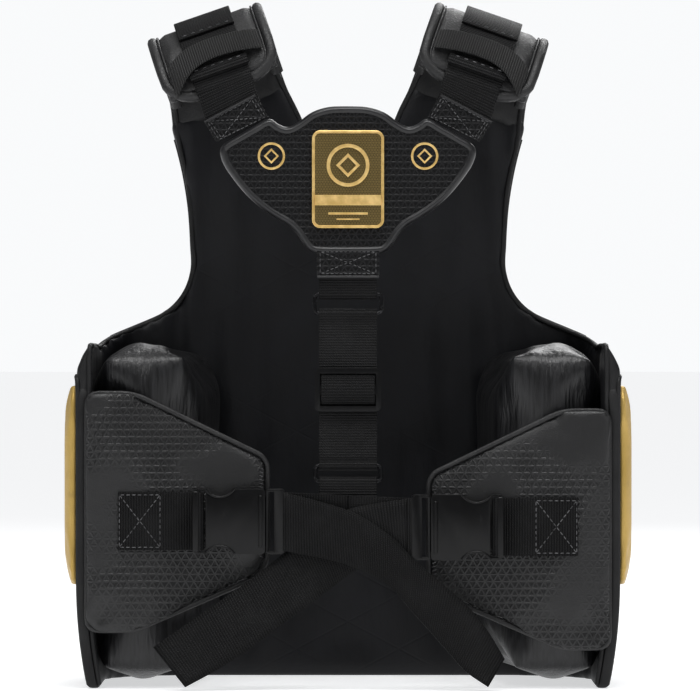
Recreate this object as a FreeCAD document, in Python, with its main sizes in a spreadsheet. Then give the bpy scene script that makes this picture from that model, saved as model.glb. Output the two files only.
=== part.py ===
import FreeCAD, Part
import math
import os
import Sketcher

# A coach's body protector: a U-shaped padded vest, open at the back, with kidney pads inside the
# wings, arched shoulder pads, a back yoke hung on the shoulder webbing, a strap down the back and
# two padded flaps joined by a waist belt with side-release buckles.
#
# Frame: +Z up, +X to the wearer's right, +Y the struck front, -Y the open back.
# The origin is under the middle of the vest, which stands on its hem at Z = 0. Millimetres.

SIZES = {
    # vest
    "half_width": 235.0,
    "rear_edge": 104.0,
    "front_face": 128.0,
    "corner_radius": 100.0,
    "slope_start": 430.0,
    "top_thick": 20.0,
    "wing_wall": 14.0,
    "front_wall": 44.0,
    "cavity_radius": 74.0,
    "cover_skin": 3.0,
    "lining_skin": 2.0,
    "binding_skin": 4.0,
    "wing_binding_skin": 2.5,
    "wing_top": 306.0,
    "armhole_half_width": 141.0,
    "armhole_level": 382.0,
    "neck_half_width": 41.0,
    "neck_level": 498.0,
    "neck_low": 455.0,
    # raised pads outside
    "target_raise": 9.5,
    "belly_half_width": 126.0,
    "belly_bottom": 38.0,
    "belly_top": 300.0,
    "chest_half_width": 108.0,
    "chest_bottom": 318.0,
    "chest_top": 424.0,
    "target_corner": 26.0,
    "target_round": 8.0,
    "side_raise": 9.0,
    "side_round": 24.0,
    "side_pad_rear": 88.0,
    "side_pad_front": 12.0,
    "side_pad_bottom": 88.0,
    "side_pad_top": 262.0,
    # kidney pads inside
    "kidney_inner_rear": 137.0,
    "kidney_inner_front": 112.0,
    "kidney_top": 298.0,
    "kidney_bottom": 5.0,
    "soft_gap": 0.4,
    # shoulders
    "shoulder_x": 105.0,
    "shoulder_z": 516.5,
    "shoulder_tilt": 19.0,
    "arch_rear": 103.0,
    "arch_rise": 68.0,
    "pad_thick": 18.0,
    "pad_width": 105.0,
    "web_width": 50.0,
    "web_thick": 2.4,
    "web_rest": 0.4,
    "end_gap": 1.8,
    "keeper_thick": 1.5,
    "extension_width": 99.0,
    "extension_thick": 19.0,
    # yoke
    "yoke_backing_thick": 2.2,
    "yoke_pad_thick": 7.6,
    "yoke_cover_thick": 2.0,
    "yoke_crest": 500.0,
    "yoke_corner_x": 109.0,
    "yoke_corner_z": 465.0,
    "yoke_low": 377.0,
    "yoke_low_half": 30.0,
    "badge_width": 62.0,
    "badge_height": 84.0,
    "badge_thick": 2.0,
    "badge_low": 397.0,
    "emblem_size": 24.0,
    "emblem_x": 66.0,
    "emblem_z": 459.0,
    "emblem_thick": 0.8,
    # strap down the back
    "ring_wire": 3.6,
    "ring_corner": 2.9,
    "bar_gap": 0.3,
    "upper_ring_ends": 11.0,
    "upper_ring_rise": 16.4,
    "upper_bar_z": 340.0,
    "belt_clearance": 2.2,
    "strap_length": 131.5,
    "lower_ring_ends": 10.0,
    "lower_ring_rise": 13.0,
    "slider_ends": 7.0,
    "slider_height": 37.0,
    "slider_thick": 4.0,
    "slider_drop": 85.0,
    "loop_length": 27.0,
    # flaps and belt
    "flap_inset": 9.0,
    "flap_inner": 68.0,
    "flap_top": 256.0,
    "flap_bottom": 49.0,
    "flap_drop_right": 15.0,
    "flap_thick": 14.0,
    "flap_skin": 3.0,
    "piping_width": 4.0,
    "hinge_gap": 0.5,
    "belt_z": 145.0,
    "belt_drop_right": 5.0,
    "socket_length": 62.0,
    "buckle_height": 56.0,
    "buckle_thick": 14.0,
    "buckle_wall": 6.0,
    "buckle_skin": 3.5,
    "scallop_radius": 15.0,
    "fit_gap": 0.6,
    "socket_inner_x": 71.0,
    "plug_length": 16.0,
    "anchor_end": 198.0,
    "belt_layer_gap": 0.6,
    "tail_lift": 2.5,
}

doc = FreeCAD.newDocument("belly_pad")
sheet = doc.addObject("Spreadsheet::Sheet", "sizes")
for row, (alias, value) in enumerate(SIZES.items(), start=1):
    sheet.set("A%d" % row, alias)
    sheet.set("B%d" % row, str(value))
    sheet.setAlias("B%d" % row, alias)
doc.recompute()


class Size:
    """A number from the sheet, or worked out from it, with the expression that binds it."""

    def __init__(self, number, text=None):
        self.number = float(number)
        self.text = text if text else repr(float(number))

    @staticmethod
    def of(value):
        return value if isinstance(value, Size) else Size(value)

    def join(self, other, sign, work):
        other = Size.of(other)
        return Size(work(self.number, other.number), "(%s %s %s)" % (self.text, sign, other.text))

    def __add__(self, other):
        return self.join(other, "+", lambda p, q: p + q)

    def __radd__(self, other):
        return Size.of(other) + self

    def __sub__(self, other):
        return self.join(other, "-", lambda p, q: p - q)

    def __mul__(self, other):
        return self.join(other, "*", lambda p, q: p * q)

    def __truediv__(self, other):
        return self.join(other, "/", lambda p, q: p / q)

    def __neg__(self):
        return self * -1

    def __float__(self):
        return self.number


def size(alias):
    """One driving size as a Size bound to its cell."""
    return Size(sheet.get(alias), "sizes." + alias)


def plain(alias):
    """One driving size as a plain number."""
    return float(sheet.get(alias))


SUB_PARTS = []


def keep(thing, label):
    """Gives a finished sub-part its name and lists it for writing."""
    thing.Label = label
    SUB_PARTS.append(thing)
    return thing


def feature(label, shape):
    """A sub-part whose freeform shape is set in code from the sheet's sizes."""
    thing = doc.addObject("Part::Feature", label)
    thing.Shape = shape
    return keep(thing, label)


def origin_plane(body, role):
    for plane in body.Origin.OriginFeatures:
        if plane.Role == role:
            return plane


def add_outline(sketch, corners):
    """A closed outline of straight runs, each corner held by two bound distances."""
    total = len(corners)
    for i in range(total):
        here, there = corners[i], corners[(i + 1) % total]
        start = FreeCAD.Vector(float(Size.of(here[0])), float(Size.of(here[1])), 0)
        end = FreeCAD.Vector(float(Size.of(there[0])), float(Size.of(there[1])), 0)
        sketch.addGeometry(Part.LineSegment(start, end), False)
    for i in range(total):
        sketch.addConstraint(Sketcher.Constraint("Coincident", i, 2, (i + 1) % total, 1))
    for i in range(total):
        for kind, value in (("DistanceX", corners[i][0]), ("DistanceY", corners[i][1])):
            value = Size.of(value)
            at = sketch.addConstraint(Sketcher.Constraint(kind, -1, 1, i, 1, value.number))
            sketch.setExpression("Constraints[%d]" % at, value.text)


def plate(label, corners, front, thick, radius=None, mirror=1):
    """A flat piece parallel to the back: an outline in X and Z, from `front` back by `thick`."""
    front, thick = Size.of(front), Size.of(thick)
    body = doc.addObject("PartDesign::Body", label + "_body")
    sketch = body.newObject("Sketcher::SketchObject", label + "_outline")
    sketch.AttachmentSupport = [(origin_plane(body, "XZ_Plane"), "")]
    sketch.MapMode = "FlatFace"
    corners = [(Size.of(x) * mirror, Size.of(z)) for x, z in corners]
    add_outline(sketch, corners)
    sketch.setExpression("AttachmentOffset.Base.z", (-front).text)
    pad = body.newObject("PartDesign::Pad", label + "_pad")
    pad.Profile = sketch
    pad.setExpression("Length", thick.text)
    doc.recompute()
    if radius is not None:
        edges = []
        for i, edge in enumerate(pad.Shape.Edges, start=1):
            ends = edge.BoundBox
            if ends.XLength < 0.01 and ends.ZLength < 0.01:
                edges.append("Edge%d" % i)
        fillet = body.newObject("PartDesign::Fillet", label + "_corners")
        fillet.Base = (pad, edges)
        fillet.setExpression("Radius", Size.of(radius).text)
        body.Tip = fillet
        doc.recompute()
    return keep(body, label)


def block(label, x, y, z):
    """A box between two bound ends on each axis."""
    box = doc.addObject("Part::Box", label)
    for (low, high), length, place in zip((x, y, z), ("Length", "Width", "Height"), "xyz"):
        low, high = Size.of(low), Size.of(high)
        box.setExpression(length, (high - low).text)
        box.setExpression("Placement.Base." + place, low.text)
    return box


def rod(label, radius, x, y, z, length, turn=None):
    """A cylinder of a bound radius and length, from a bound place, along Z unless turned."""
    cylinder = doc.addObject("Part::Cylinder", label)
    cylinder.setExpression("Radius", Size.of(radius).text)
    cylinder.setExpression("Height", Size.of(length).text)
    if turn:
        cylinder.Placement = FreeCAD.Placement(FreeCAD.Vector(), turn)
    for place, value in (("x", x), ("y", y), ("z", z)):
        cylinder.setExpression("Placement.Base." + place, Size.of(value).text)
    return cylinder


ALONG_X = FreeCAD.Rotation(FreeCAD.Vector(0, 1, 0), 90)
ALONG_BACK = FreeCAD.Rotation(FreeCAD.Vector(1, 0, 0), 90)


def fuse(label, things):
    joined = doc.addObject("Part::MultiFuse", label)
    joined.Shapes = things
    joined.Refine = True
    return joined


def cut(label, base, tools):
    result = doc.addObject("Part::Cut", label)
    result.Base = base
    result.Tool = tools[0] if len(tools) == 1 else fuse(label + "_tools", tools)
    return result


def rounded(label, base, radius, along):
    """Rounds the edges of a block that run along one axis."""
    doc.recompute()
    spans = {"x": (1, 2), "y": (0, 2), "z": (0, 1)}[along]
    chosen = []
    for i, edge in enumerate(base.Shape.Edges, start=1):
        box = edge.BoundBox
        lengths = (box.XLength, box.YLength, box.ZLength)
        if max(lengths[spans[0]], lengths[spans[1]]) < 0.01:
            chosen.append((i, float(radius), float(radius)))
    result = doc.addObject("Part::Fillet", label)
    result.Base = base
    result.Edges = chosen
    return result


# ---------------------------------------------------------------- vest shell

HEIGHT_PAST = 700.0  # higher than any outline
SPAN_PAST = 400.0  # wider and deeper than any outline


def vector(x, y, z=0.0):
    return FreeCAD.Vector(x, y, z)


def prism_up(wire):
    """A plan outline raised past the top of the vest."""
    face = Part.Face(wire)
    face.translate(vector(0, 0, -1))
    return face.extrude(vector(0, 0, HEIGHT_PAST))


def plan_outline(half, front, rear, radius):
    """A plan outline with straight sides, open corners at the rear and round ones in front."""
    diagonal = radius * (1 - math.sqrt(0.5))
    right_arc = Part.Arc(
        vector(half, front - radius),
        vector(half - diagonal, front - diagonal),
        vector(half - radius, front),
    )
    left_arc = Part.Arc(
        vector(radius - half, front),
        vector(diagonal - half, front - diagonal),
        vector(-half, front - radius),
    )
    edges = [
        Part.LineSegment(vector(-half, rear), vector(half, rear)).toShape(),
        Part.LineSegment(vector(half, rear), vector(half, front - radius)).toShape(),
        right_arc.toShape(),
        Part.LineSegment(vector(half - radius, front), vector(radius - half, front)).toShape(),
        left_arc.toShape(),
        Part.LineSegment(vector(-half, front - radius), vector(-half, rear)).toShape(),
    ]
    return Part.Wire(edges)


def vest_hull(inset):
    """The filled outside of the vest, moved in by `inset` all round but at the rear edges."""
    rear = -plain("rear_edge")
    front = plain("front_face") - inset
    half = plain("half_width") - inset
    hull = prism_up(plan_outline(half, front, rear, plain("corner_radius") - inset))
    slope = plain("slope_start")
    thinned = plain("front_wall") - plain("top_thick")
    past_top = plain("shoulder_z") + 40
    set_back = thinned * (past_top - slope) / (plain("shoulder_z") - slope)
    side = Part.makePolygon([
        vector(-SPAN_PAST, front, slope),
        vector(-SPAN_PAST, front + 1, slope),
        vector(-SPAN_PAST, front + 1, HEIGHT_PAST),
        vector(-SPAN_PAST, front - set_back, HEIGHT_PAST),
        vector(-SPAN_PAST, front - set_back, past_top),
        vector(-SPAN_PAST, front, slope),
    ])
    return hull.cut(Part.Face(side).extrude(vector(2 * SPAN_PAST, 0, 0)))


def cavity(grow):
    """The space for the torso, with its walls moved out by `grow`."""
    half = plain("half_width") - plain("wing_wall") + grow
    front = plain("front_face") - plain("front_wall") + grow
    rear = -plain("rear_edge") - 60
    return prism_up(plan_outline(half, front, rear, plain("cavity_radius") + grow))


def shoulder_line(x):
    """Height of the sloping line where the shoulder arches start, at a distance from the middle."""
    slope = math.tan(math.radians(plain("shoulder_tilt")))
    return plain("shoulder_z") - (x - plain("shoulder_x")) * slope


def front_outline(inset):
    """The vest's outline from the front as a solid: hem, wing tops, armholes, shoulders, neck."""
    half = plain("half_width")
    wing_top = plain("wing_top")
    arm = plain("armhole_half_width")
    level = plain("armhole_level")
    neck = plain("neck_half_width")
    neck_z = plain("neck_level")
    past = half + 25  # the outline runs past the wings, whose own ends close it
    edge_low = wing_top - 63
    edge_high = wing_top - 25
    outer_x = arm + 20
    inner_x = neck + 17
    outer = vector(outer_x, 0, shoulder_line(outer_x))
    inner = vector(inner_x, 0, shoulder_line(inner_x))

    def side(s):
        def line(start, end):
            return Part.LineSegment(vector(s * start[0], 0, start[1]), vector(s * end[0], 0, end[1]))

        def arc(start, middle, end):
            return Part.Arc(*(vector(s * x, 0, z) for x, z in (start, middle, end)))

        corner = (half - 27, wing_top)
        armpit = (arm + 27, wing_top + 17)
        narrow = (arm, level)
        return [
            line((past, 0), (past, edge_low)),
            line((past, edge_low), (half - 3, edge_high)),
            arc((half - 3, edge_high), (half - 11, wing_top - 10), corner),
            line(corner, armpit),
            arc(armpit, (arm + 6, wing_top + 38), narrow),
            arc(narrow, (arm + 5, (level + outer.z) / 2), (outer.x, outer.z)),
            line((outer.x, outer.z), (inner.x, inner.z)),
            line((inner.x, inner.z), (neck, neck_z)),
        ]

    hem = Part.LineSegment(vector(-past, 0, 0), vector(past, 0, 0))
    scoop = Part.Arc(vector(neck, 0, neck_z), vector(0, 0, plain("neck_low")), vector(-neck, 0, neck_z))
    edges = [hem] + side(1) + [scoop] + side(-1)
    wire = Part.Wire(Part.__sortEdges__([edge.toShape() for edge in edges]))
    if inset:
        wire = wire.makeOffset2D(-inset, 0)
    face = Part.Face(wire)
    face.translate(vector(0, -SPAN_PAST, 0))
    return face.extrude(vector(0, 2 * SPAN_PAST, 0))


def region(x, z):
    """A block across the whole depth, for taking one stretch of the edge skin."""
    return Part.makeBox(x[1] - x[0], 2 * SPAN_PAST, z[1] - z[0], vector(x[0], -SPAN_PAST, z[0]))


def vest_shell():
    """Cover, foam, lining and the bound edges of the vest."""
    outline = front_outline(0)
    inner_outline = front_outline(plain("binding_skin"))
    outside = vest_hull(0)
    under_cover = vest_hull(plain("cover_skin"))
    torso = cavity(0)
    behind_lining = cavity(plain("lining_skin"))
    feature("outer_cover", outside.cut(under_cover).cut(behind_lining).common(inner_outline))
    feature("foam_core", under_cover.cut(behind_lining).common(inner_outline))
    feature("inner_lining", outside.common(behind_lining).cut(torso).common(inner_outline))
    skin = outside.cut(torso).common(outline).cut(inner_outline)
    split = plain("shoulder_x") - 5
    side_end = plain("half_width") + 30
    hem_end = plain("binding_skin") * 5
    neck_start = plain("neck_low") - 55
    feature("hem_binding", skin.common(region((-side_end, side_end), (-1, hem_end))))
    feature("neck_binding", skin.common(region((-split, split), (neck_start, HEIGHT_PAST))))
    for name, s in (("left", -1), ("right", 1)):
        xs = sorted((s * split, s * side_end))
        feature("armhole_binding_" + name, skin.common(region(xs, (hem_end * 10, HEIGHT_PAST))))
        wall = sorted((s * (plain("half_width") - plain("wing_wall")), s * plain("half_width")))
        rear = -plain("rear_edge") - plain("wing_binding_skin")
        corner = vector(wall[0], rear, 0)
        strip = Part.makeBox(wall[1] - wall[0], plain("wing_binding_skin"), plain("wing_top"), corner)
        feature("wing_binding_" + name, strip.common(outline))


def raised_pads():
    """The struck pads sewn on the front, and the coloured pads on the outside of each wing."""
    front = size("front_face") + size("target_raise")
    for label, half, low, high in (
        ("belly_target_pad", size("belly_half_width"), size("belly_bottom"), size("belly_top")),
        ("chest_target_pad", size("chest_half_width"), size("chest_bottom"), size("chest_top")),
    ):
        corner = size("target_corner")
        corners = [
            (-half, low + corner),
            (-half + corner, low),
            (half - corner, low),
            (half, low + corner),
            (half, high - corner),
            (half - corner, high),
            (-half + corner, high),
            (-half, high - corner),
        ]
        plate(label, corners, front, size("target_raise"), size("target_round"))
    for name, s in (("left", -1), ("right", 1)):
        inner = size("half_width") * s
        outer = (size("half_width") + size("side_raise")) * s
        box = block(
            "side_block_" + name,
            (inner, outer) if s > 0 else (outer, inner),
            (-size("side_pad_rear"), size("side_pad_front")),
            (size("side_pad_bottom"), size("side_pad_top")),
        )
        keep(rounded("side_rounded_" + name, box, size("side_round"), "x"), "side_pad_" + name)


def kidney_pads():
    """A block of foam inside each wing, wider towards the front, filling the corner."""
    gap = plain("soft_gap")
    room = cavity(-gap)
    half = plain("half_width")
    front = plain("front_face") - plain("front_wall")
    for name, s in (("left", -1), ("right", 1)):
        corners = [
            vector(s * plain("kidney_inner_rear"), -plain("rear_edge") + 1, 0),
            vector(s * half, -plain("rear_edge") + 1, 0),
            vector(s * half, front, 0),
            vector(s * plain("kidney_inner_front"), front, 0),
        ]
        face = Part.Face(Part.makePolygon(corners + corners[:1]))
        face.translate(vector(0, 0, plain("kidney_bottom")))
        tall = face.extrude(vector(0, 0, plain("kidney_top") - plain("kidney_bottom")))
        outline = front_outline(plain("binding_skin") + gap)
        feature("kidney_pad_" + name, tall.common(room).common(outline))


# ---------------------------------------------------------------- shoulders

UP_FROM_PLAN = FreeCAD.Rotation(FreeCAD.Vector(1, 1, 1), 120)


def arch_front():
    """Y of the pad's top at the front: inside the chest by the webbing and the vest's end."""
    layers = plain("web_rest") + plain("web_thick") + plain("end_gap") + plain("soft_gap")
    return plain("front_face") - plain("front_wall") - layers


def shoulder_place(s):
    """The frame of one shoulder: its middle, leaning outwards with the slope of the shoulder."""
    halfway = (arch_front() - plain("arch_rear")) / 2
    middle = vector(s * plain("shoulder_x"), halfway, plain("shoulder_z"))
    lean = FreeCAD.Rotation(vector(0, 1, 0), s * plain("shoulder_tilt"))
    return FreeCAD.Placement(middle, lean)


def arch(grow, thick, start, end, across):
    """A band over the shoulder, `grow` outside the pad's top, between two angles from the rear."""
    depth = (arch_front() + plain("arch_rear")) / 2 + grow
    rise = plain("arch_rise") + grow
    first, last = math.radians(180 - end), math.radians(180 - start)
    below = Part.Ellipse(vector(0, 0), depth, rise)
    above = Part.Ellipse(vector(0, 0), depth + thick, rise + thick)
    inner = Part.ArcOfEllipse(below, first, last).toShape()
    outer = Part.ArcOfEllipse(above, first, last).toShape()
    ends = [
        Part.LineSegment(below.value(angle), above.value(angle)).toShape() for angle in (first, last)
    ]
    face = Part.Face(Part.Wire(Part.__sortEdges__([inner, outer] + ends)))
    face.translate(vector(0, 0, across[0]))
    band = face.extrude(vector(0, 0, across[1] - across[0]))
    band.Placement = FreeCAD.Placement(vector(0, 0, 0), UP_FROM_PLAN).multiply(band.Placement)
    return band


def placed(shape, place):
    shape = shape.copy()
    shape.Placement = place.multiply(shape.Placement)
    return shape


def shoulders():
    """Pads, webbing and keeper of each shoulder, and the vest's own end that carries them."""
    web = plain("web_thick")
    rest = plain("web_rest")
    half_web = plain("web_width") / 2
    half_pad = plain("pad_width") / 2
    half_end = plain("extension_width") / 2
    keeper_thick = plain("keeper_thick")
    pad_end = 172
    hem_turn = (12, 22)
    crest_fold = (48, 84)
    keeper_turn = (14, 34)
    front_turn = (138, 180)
    for name, s in (("left", -1), ("right", 1)):
        place = shoulder_place(s)
        pad = arch(-plain("pad_thick"), plain("pad_thick"), 0, pad_end, (-half_pad, half_pad))
        feature("shoulder_pad_" + name, placed(pad, place))
        long_run = arch(rest, web, 1, 150, (-half_web, half_web))
        hem_end = arch(rest + web, web, *hem_turn, (-half_web - 1, half_web + 1))
        top_fold = arch(rest + web, web, *crest_fold, (-half_web, half_web))
        webbing = long_run.fuse(hem_end).fuse(top_fold).removeSplitter()
        feature("shoulder_web_" + name, placed(webbing, place))
        bridge = rest + 2 * web + rest
        leg_start = half_web + 4
        keeper = arch(bridge, keeper_thick, *keeper_turn, (-half_pad, half_pad))
        for ends in ((-half_pad, -leg_start), (leg_start, half_pad)):
            keeper = keeper.fuse(arch(0.1, bridge, *keeper_turn, ends))
        feature("strap_keeper_" + name, placed(keeper.removeSplitter(), place))
        over_web = rest + web + plain("end_gap")
        end = arch(over_web, plain("extension_thick"), *front_turn, (-half_end, half_end))
        feature("shoulder_front_" + name, placed(end, place))


# ---------------------------------------------------------------- yoke

def web_front():
    """Y of the inner face of the webbing, where it leaves the shoulder for the yoke."""
    return -size("arch_rear") - size("web_rest")


def yoke_outline(grow_tabs):
    """Half outlines joined: round crest, notch, shoulder corner, drawn-in sides, low end."""
    crest = [(14, size("yoke_crest")), (32, size("yoke_crest") - 6), (50, size("yoke_crest") - 18)]
    shoulder = [(68, size("yoke_crest") - 10)]
    if grow_tabs:
        shoulder = [(67, 492), (79, 514), (126, 489), (112, 470)]
    sides = [
        (size("yoke_corner_x"), size("yoke_corner_z")),
        (size("yoke_corner_x") - 6, size("yoke_corner_z") - 18),
        (size("yoke_corner_x") - 24, size("yoke_corner_z") - 40),
        (size("yoke_corner_x") - 47, size("yoke_corner_z") - 58),
        (size("yoke_corner_x") - 65, size("yoke_corner_z") - 69),
        (size("yoke_low_half"), size("yoke_low")),
    ]
    right = crest + shoulder + sides
    left = [(Size.of(x) * -1, z) for x, z in reversed(right)]
    return right + left


def yoke():
    """The back plate: backing, foam and moulded face, with its badge, emblems and sewn tabs."""
    front = web_front() + size("yoke_backing_thick")
    plate("yoke_backing", yoke_outline(True), front, size("yoke_backing_thick"))
    plate("yoke_padding", yoke_outline(False), web_front(), size("yoke_pad_thick"))
    face = web_front() - size("yoke_pad_thick")
    plate("yoke_cover", yoke_outline(False), face, size("yoke_cover_thick"))
    surface = face - size("yoke_cover_thick")
    half = size("badge_width") / 2
    low = size("badge_low")
    high = low + size("badge_height")
    corners = [(-half, low), (half, low), (half, high), (-half, high)]
    plate("badge", corners, surface, size("badge_thick"), radius=6)
    for name, s in (("left", -1), ("right", 1)):
        reach = size("emblem_size") / 2
        corners = [
            (size("emblem_x") + reach * math.cos(math.radians(60 * k + 30)),
             size("emblem_z") + reach * math.sin(math.radians(60 * k + 30)))
            for k in range(6)
        ]
        plate("emblem_" + name, corners, surface, size("emblem_thick"), mirror=s)
        tab = [(68.5, 493.0), (80, 512), (124, 488.6), (112.5, 471.5)]
        top = web_front() - size("web_thick")
        plate("yoke_tab_" + name, tab, top, 2, mirror=s)
        run = [(81.4, 523.2), (75, 500.5), (112.5, 478.5), (128.6, 507.0)]
        plate("yoke_web_" + name, run, web_front(), size("web_thick"), mirror=s)


# ---------------------------------------------------------------- strap down the back

def hang_y():
    """Y of the bar that the strap hangs from."""
    return web_front() - 4


def loop_reach():
    """Half the thickness of webbing folded round a bar."""
    return plain("ring_wire") / 2 + plain("bar_gap") + plain("web_thick")


def strap_lean():
    """Angle in degrees that brings the lowest loop just inside the belt."""
    hang = plain("upper_ring_rise") + plain("strap_length") + plain("lower_ring_rise")
    hang += plain("loop_length")
    loop_y = float(belt_layer()) + plain("belt_clearance") + loop_reach()
    return math.degrees(math.asin((float(hang_y()) - loop_y) / hang))


def leaned(label, shape):
    """A piece of the hanging strap, leaned back about the upper bar."""
    lean = FreeCAD.Rotation(vector(1, 0, 0), -strap_lean())
    pivot = vector(0, float(hang_y()), plain("upper_bar_z"))
    unmoved = FreeCAD.Rotation()
    turn = FreeCAD.Placement(pivot, lean).multiply(FreeCAD.Placement(pivot * -1, unmoved))
    feature(label, placed(shape, turn))


def wire_ring(width, rise, top_z):
    """A rounded rectangle of round wire in the plane of the strap."""
    wire = plain("ring_wire")
    half = width / 2 - wire / 2
    corner = plain("ring_corner")
    y = float(hang_y())
    low, high = top_z - rise, top_z
    mid = corner * (1 - math.sqrt(0.5))
    straights = (
        (half, low + corner, half, high - corner),
        (half - corner, high, corner - half, high),
        (-half, high - corner, -half, low + corner),
        (corner - half, low, half - corner, low),
    )
    runs = [
        Part.LineSegment(vector(x0, y, z0), vector(x1, y, z1)).toShape()
        for x0, z0, x1, z1 in straights
    ]
    for sx in (-1, 1):
        for edge_z, sz in ((low, 1), (high, -1)):
            arc = Part.Arc(
                vector(sx * half, y, edge_z + sz * corner),
                vector(sx * (half - mid), y, edge_z + sz * mid),
                vector(sx * (half - corner), y, edge_z),
            )
            runs.append(arc.toShape())
    path = Part.Wire(Part.__sortEdges__(runs))
    start = vector(half, y, (low + high) / 2)
    section = Part.Wire(Part.makeCircle(wire / 2, start, vector(0, 0, 1)))
    return path.makePipeShell([section], True, False)


def loop_round_bar(bar_z, other_z):
    """Webbing folded round a bar, as a tube along X with a double run to another height."""
    y = float(hang_y())
    outer = loop_reach()
    inner = outer - plain("web_thick")
    width = plain("web_width")
    half = width / 2
    tube = Part.makeCylinder(outer, width, vector(-half, y, bar_z), vector(1, 0, 0))
    low, high = sorted((bar_z, other_z))
    run = Part.makeBox(width, 2 * outer, high - low, vector(-half, y - outer, low))
    hole = Part.makeCylinder(inner, width + 2, vector(-half - 1, y, bar_z), vector(1, 0, 0))
    return tube.fuse(run).cut(hole)


def back_strap():
    """Yoke loop, upper ring, strap with slider, lower ring and the loop for the belt."""
    y = float(hang_y())
    top = plain("upper_bar_z")
    rise = plain("upper_ring_rise")
    low_bar = top - rise
    feature("yoke_loop", loop_round_bar(top, plain("yoke_low") - 0.2))
    width = plain("web_width")
    leaned("upper_ring", wire_ring(width + plain("upper_ring_ends"), rise, top))
    end_bar = low_bar - plain("strap_length")
    upper = loop_round_bar(low_bar, low_bar - 10)
    lower = loop_round_bar(end_bar, end_bar + 10)
    thick = plain("web_thick")
    corner = vector(-width / 2, y - thick, end_bar + 8)
    middle = Part.makeBox(width, 2 * thick, low_bar - end_bar - 16, corner)
    leaned("centre_strap", upper.fuse(lower).fuse(middle).removeSplitter())
    slider(low_bar)
    lower_rise = plain("lower_ring_rise")
    leaned("lower_ring", wire_ring(width + plain("lower_ring_ends"), lower_rise, end_bar))
    belt_bar = end_bar - lower_rise
    leaned("waist_loop", loop_round_bar(belt_bar, belt_bar - plain("loop_length")))


def slider(from_z):
    """The three-bar slider and the webbing that bulges over its middle bar."""
    y = float(hang_y())
    thick = plain("slider_thick")
    web = plain("web_thick")
    gap = plain("web_rest")
    half = (plain("web_width") + plain("slider_ends")) / 2
    high = from_z - plain("slider_drop") + plain("slider_height")
    low = high - plain("slider_height")
    face = y - web - gap
    frame = Part.makeBox(2 * half, thick, high - low, vector(-half, face - thick, low))
    upright = [edge for edge in frame.Edges if edge.BoundBox.YLength > thick - 0.01]
    frame = frame.makeFillet(5, upright)
    bar = 4.5
    middle_bar = 8.0
    slot_half = half - bar
    middle = (low + high) / 2
    slots = ((low + bar, middle - middle_bar / 2), (middle + middle_bar / 2, high - bar))
    for z0, z1 in slots:
        corner = vector(-slot_half, face - thick - 1, z0)
        frame = frame.cut(Part.makeBox(2 * slot_half, thick + 2, z1 - z0, corner))
    leaned("strap_slider", frame)
    wide = slot_half - 0.8
    reach = 9.0
    corner = vector(-wide, face - thick - web - gap, middle - reach)
    outer = Part.makeBox(2 * wide, thick + web + gap, 2 * reach, corner)
    corner = vector(-wide - 1, face - thick - gap, middle - reach + web)
    hollow = Part.makeBox(2 * wide + 2, thick + gap, 2 * (reach - web), corner)
    leaned("slider_fold", outer.cut(hollow))


# ---------------------------------------------------------------- flaps, buckles and belt

def flap_corners(drop, inset):
    """Outline of one flap for the wearer's right: straight hinge side, pointed towards the middle."""
    outer = size("half_width") - size("flap_inset")
    inner = size("flap_inner")
    top = size("flap_top") - drop
    low = size("flap_bottom") - drop
    k = inset
    return [
        (outer - k, low + k),
        (outer - k, top - k),
        (outer - 41 - k * 0.2, top - k),
        (inner + 5 + k * 0.4, top - 54 - k * 1.1),
        (inner + k, top - 62 - k * 0.6),
        (inner + k, low + 60 + k * 0.7),
        (inner + 10 + k * 0.8, low + 46 + k * 0.8),
        (outer - 42 - k * 0.2, low + k),
    ]


def flaps():
    """Each flap: bound edge, foam and embossed face, hinged where it is sewn to the wing."""
    front = -size("rear_edge") - size("wing_binding_skin") - size("hinge_gap")
    width = plain("piping_width")
    for name, s in (("left", -1), ("right", 1)):
        drop = size("flap_drop_right") if s > 0 else Size(0)
        inner = flap_corners(drop, width)
        foam_thick = size("flap_thick") - size("flap_skin")
        plate("flap_padding_" + name, inner, front, foam_thick, mirror=s)
        plate("flap_cover_" + name, inner, front - foam_thick, size("flap_skin"), mirror=s)
        body = plate("flap_piping_" + name, flap_corners(drop, 0), front, size("flap_thick"), mirror=s)
        hole = body.newObject("Sketcher::SketchObject", "flap_inside_" + name)
        hole.AttachmentSupport = [(origin_plane(body, "XZ_Plane"), "")]
        hole.MapMode = "FlatFace"
        add_outline(hole, [(Size.of(x) * s, z) for x, z in inner])
        pocket = body.newObject("PartDesign::Pocket", "flap_opening_" + name)
        pocket.Profile = hole
        pocket.Type = 1
        pocket.Midplane = True
        body.Tip = pocket
        doc.recompute()


def belt_level(s):
    return size("belt_z") - (size("belt_drop_right") if s > 0 else Size(0))


def flap_surface():
    """Y of the face of a flap."""
    return -size("rear_edge") - size("wing_binding_skin") - size("hinge_gap") - size("flap_thick")


def buckle_base():
    """Y of the inner face of the buckles, which stand on the anchor webbing."""
    return flap_surface() - size("web_thick") - 0.3


def belt_layer():
    """Y of the inner face of the belt, which leaves the plugs at half their thickness."""
    return buckle_base() - 4.5


def across(s, near, far):
    """The ends along X of something between two distances from the middle, on one side."""
    near, far = Size.of(near), Size.of(far)
    return (near, far) if s > 0 else (-far, -near)


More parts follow.
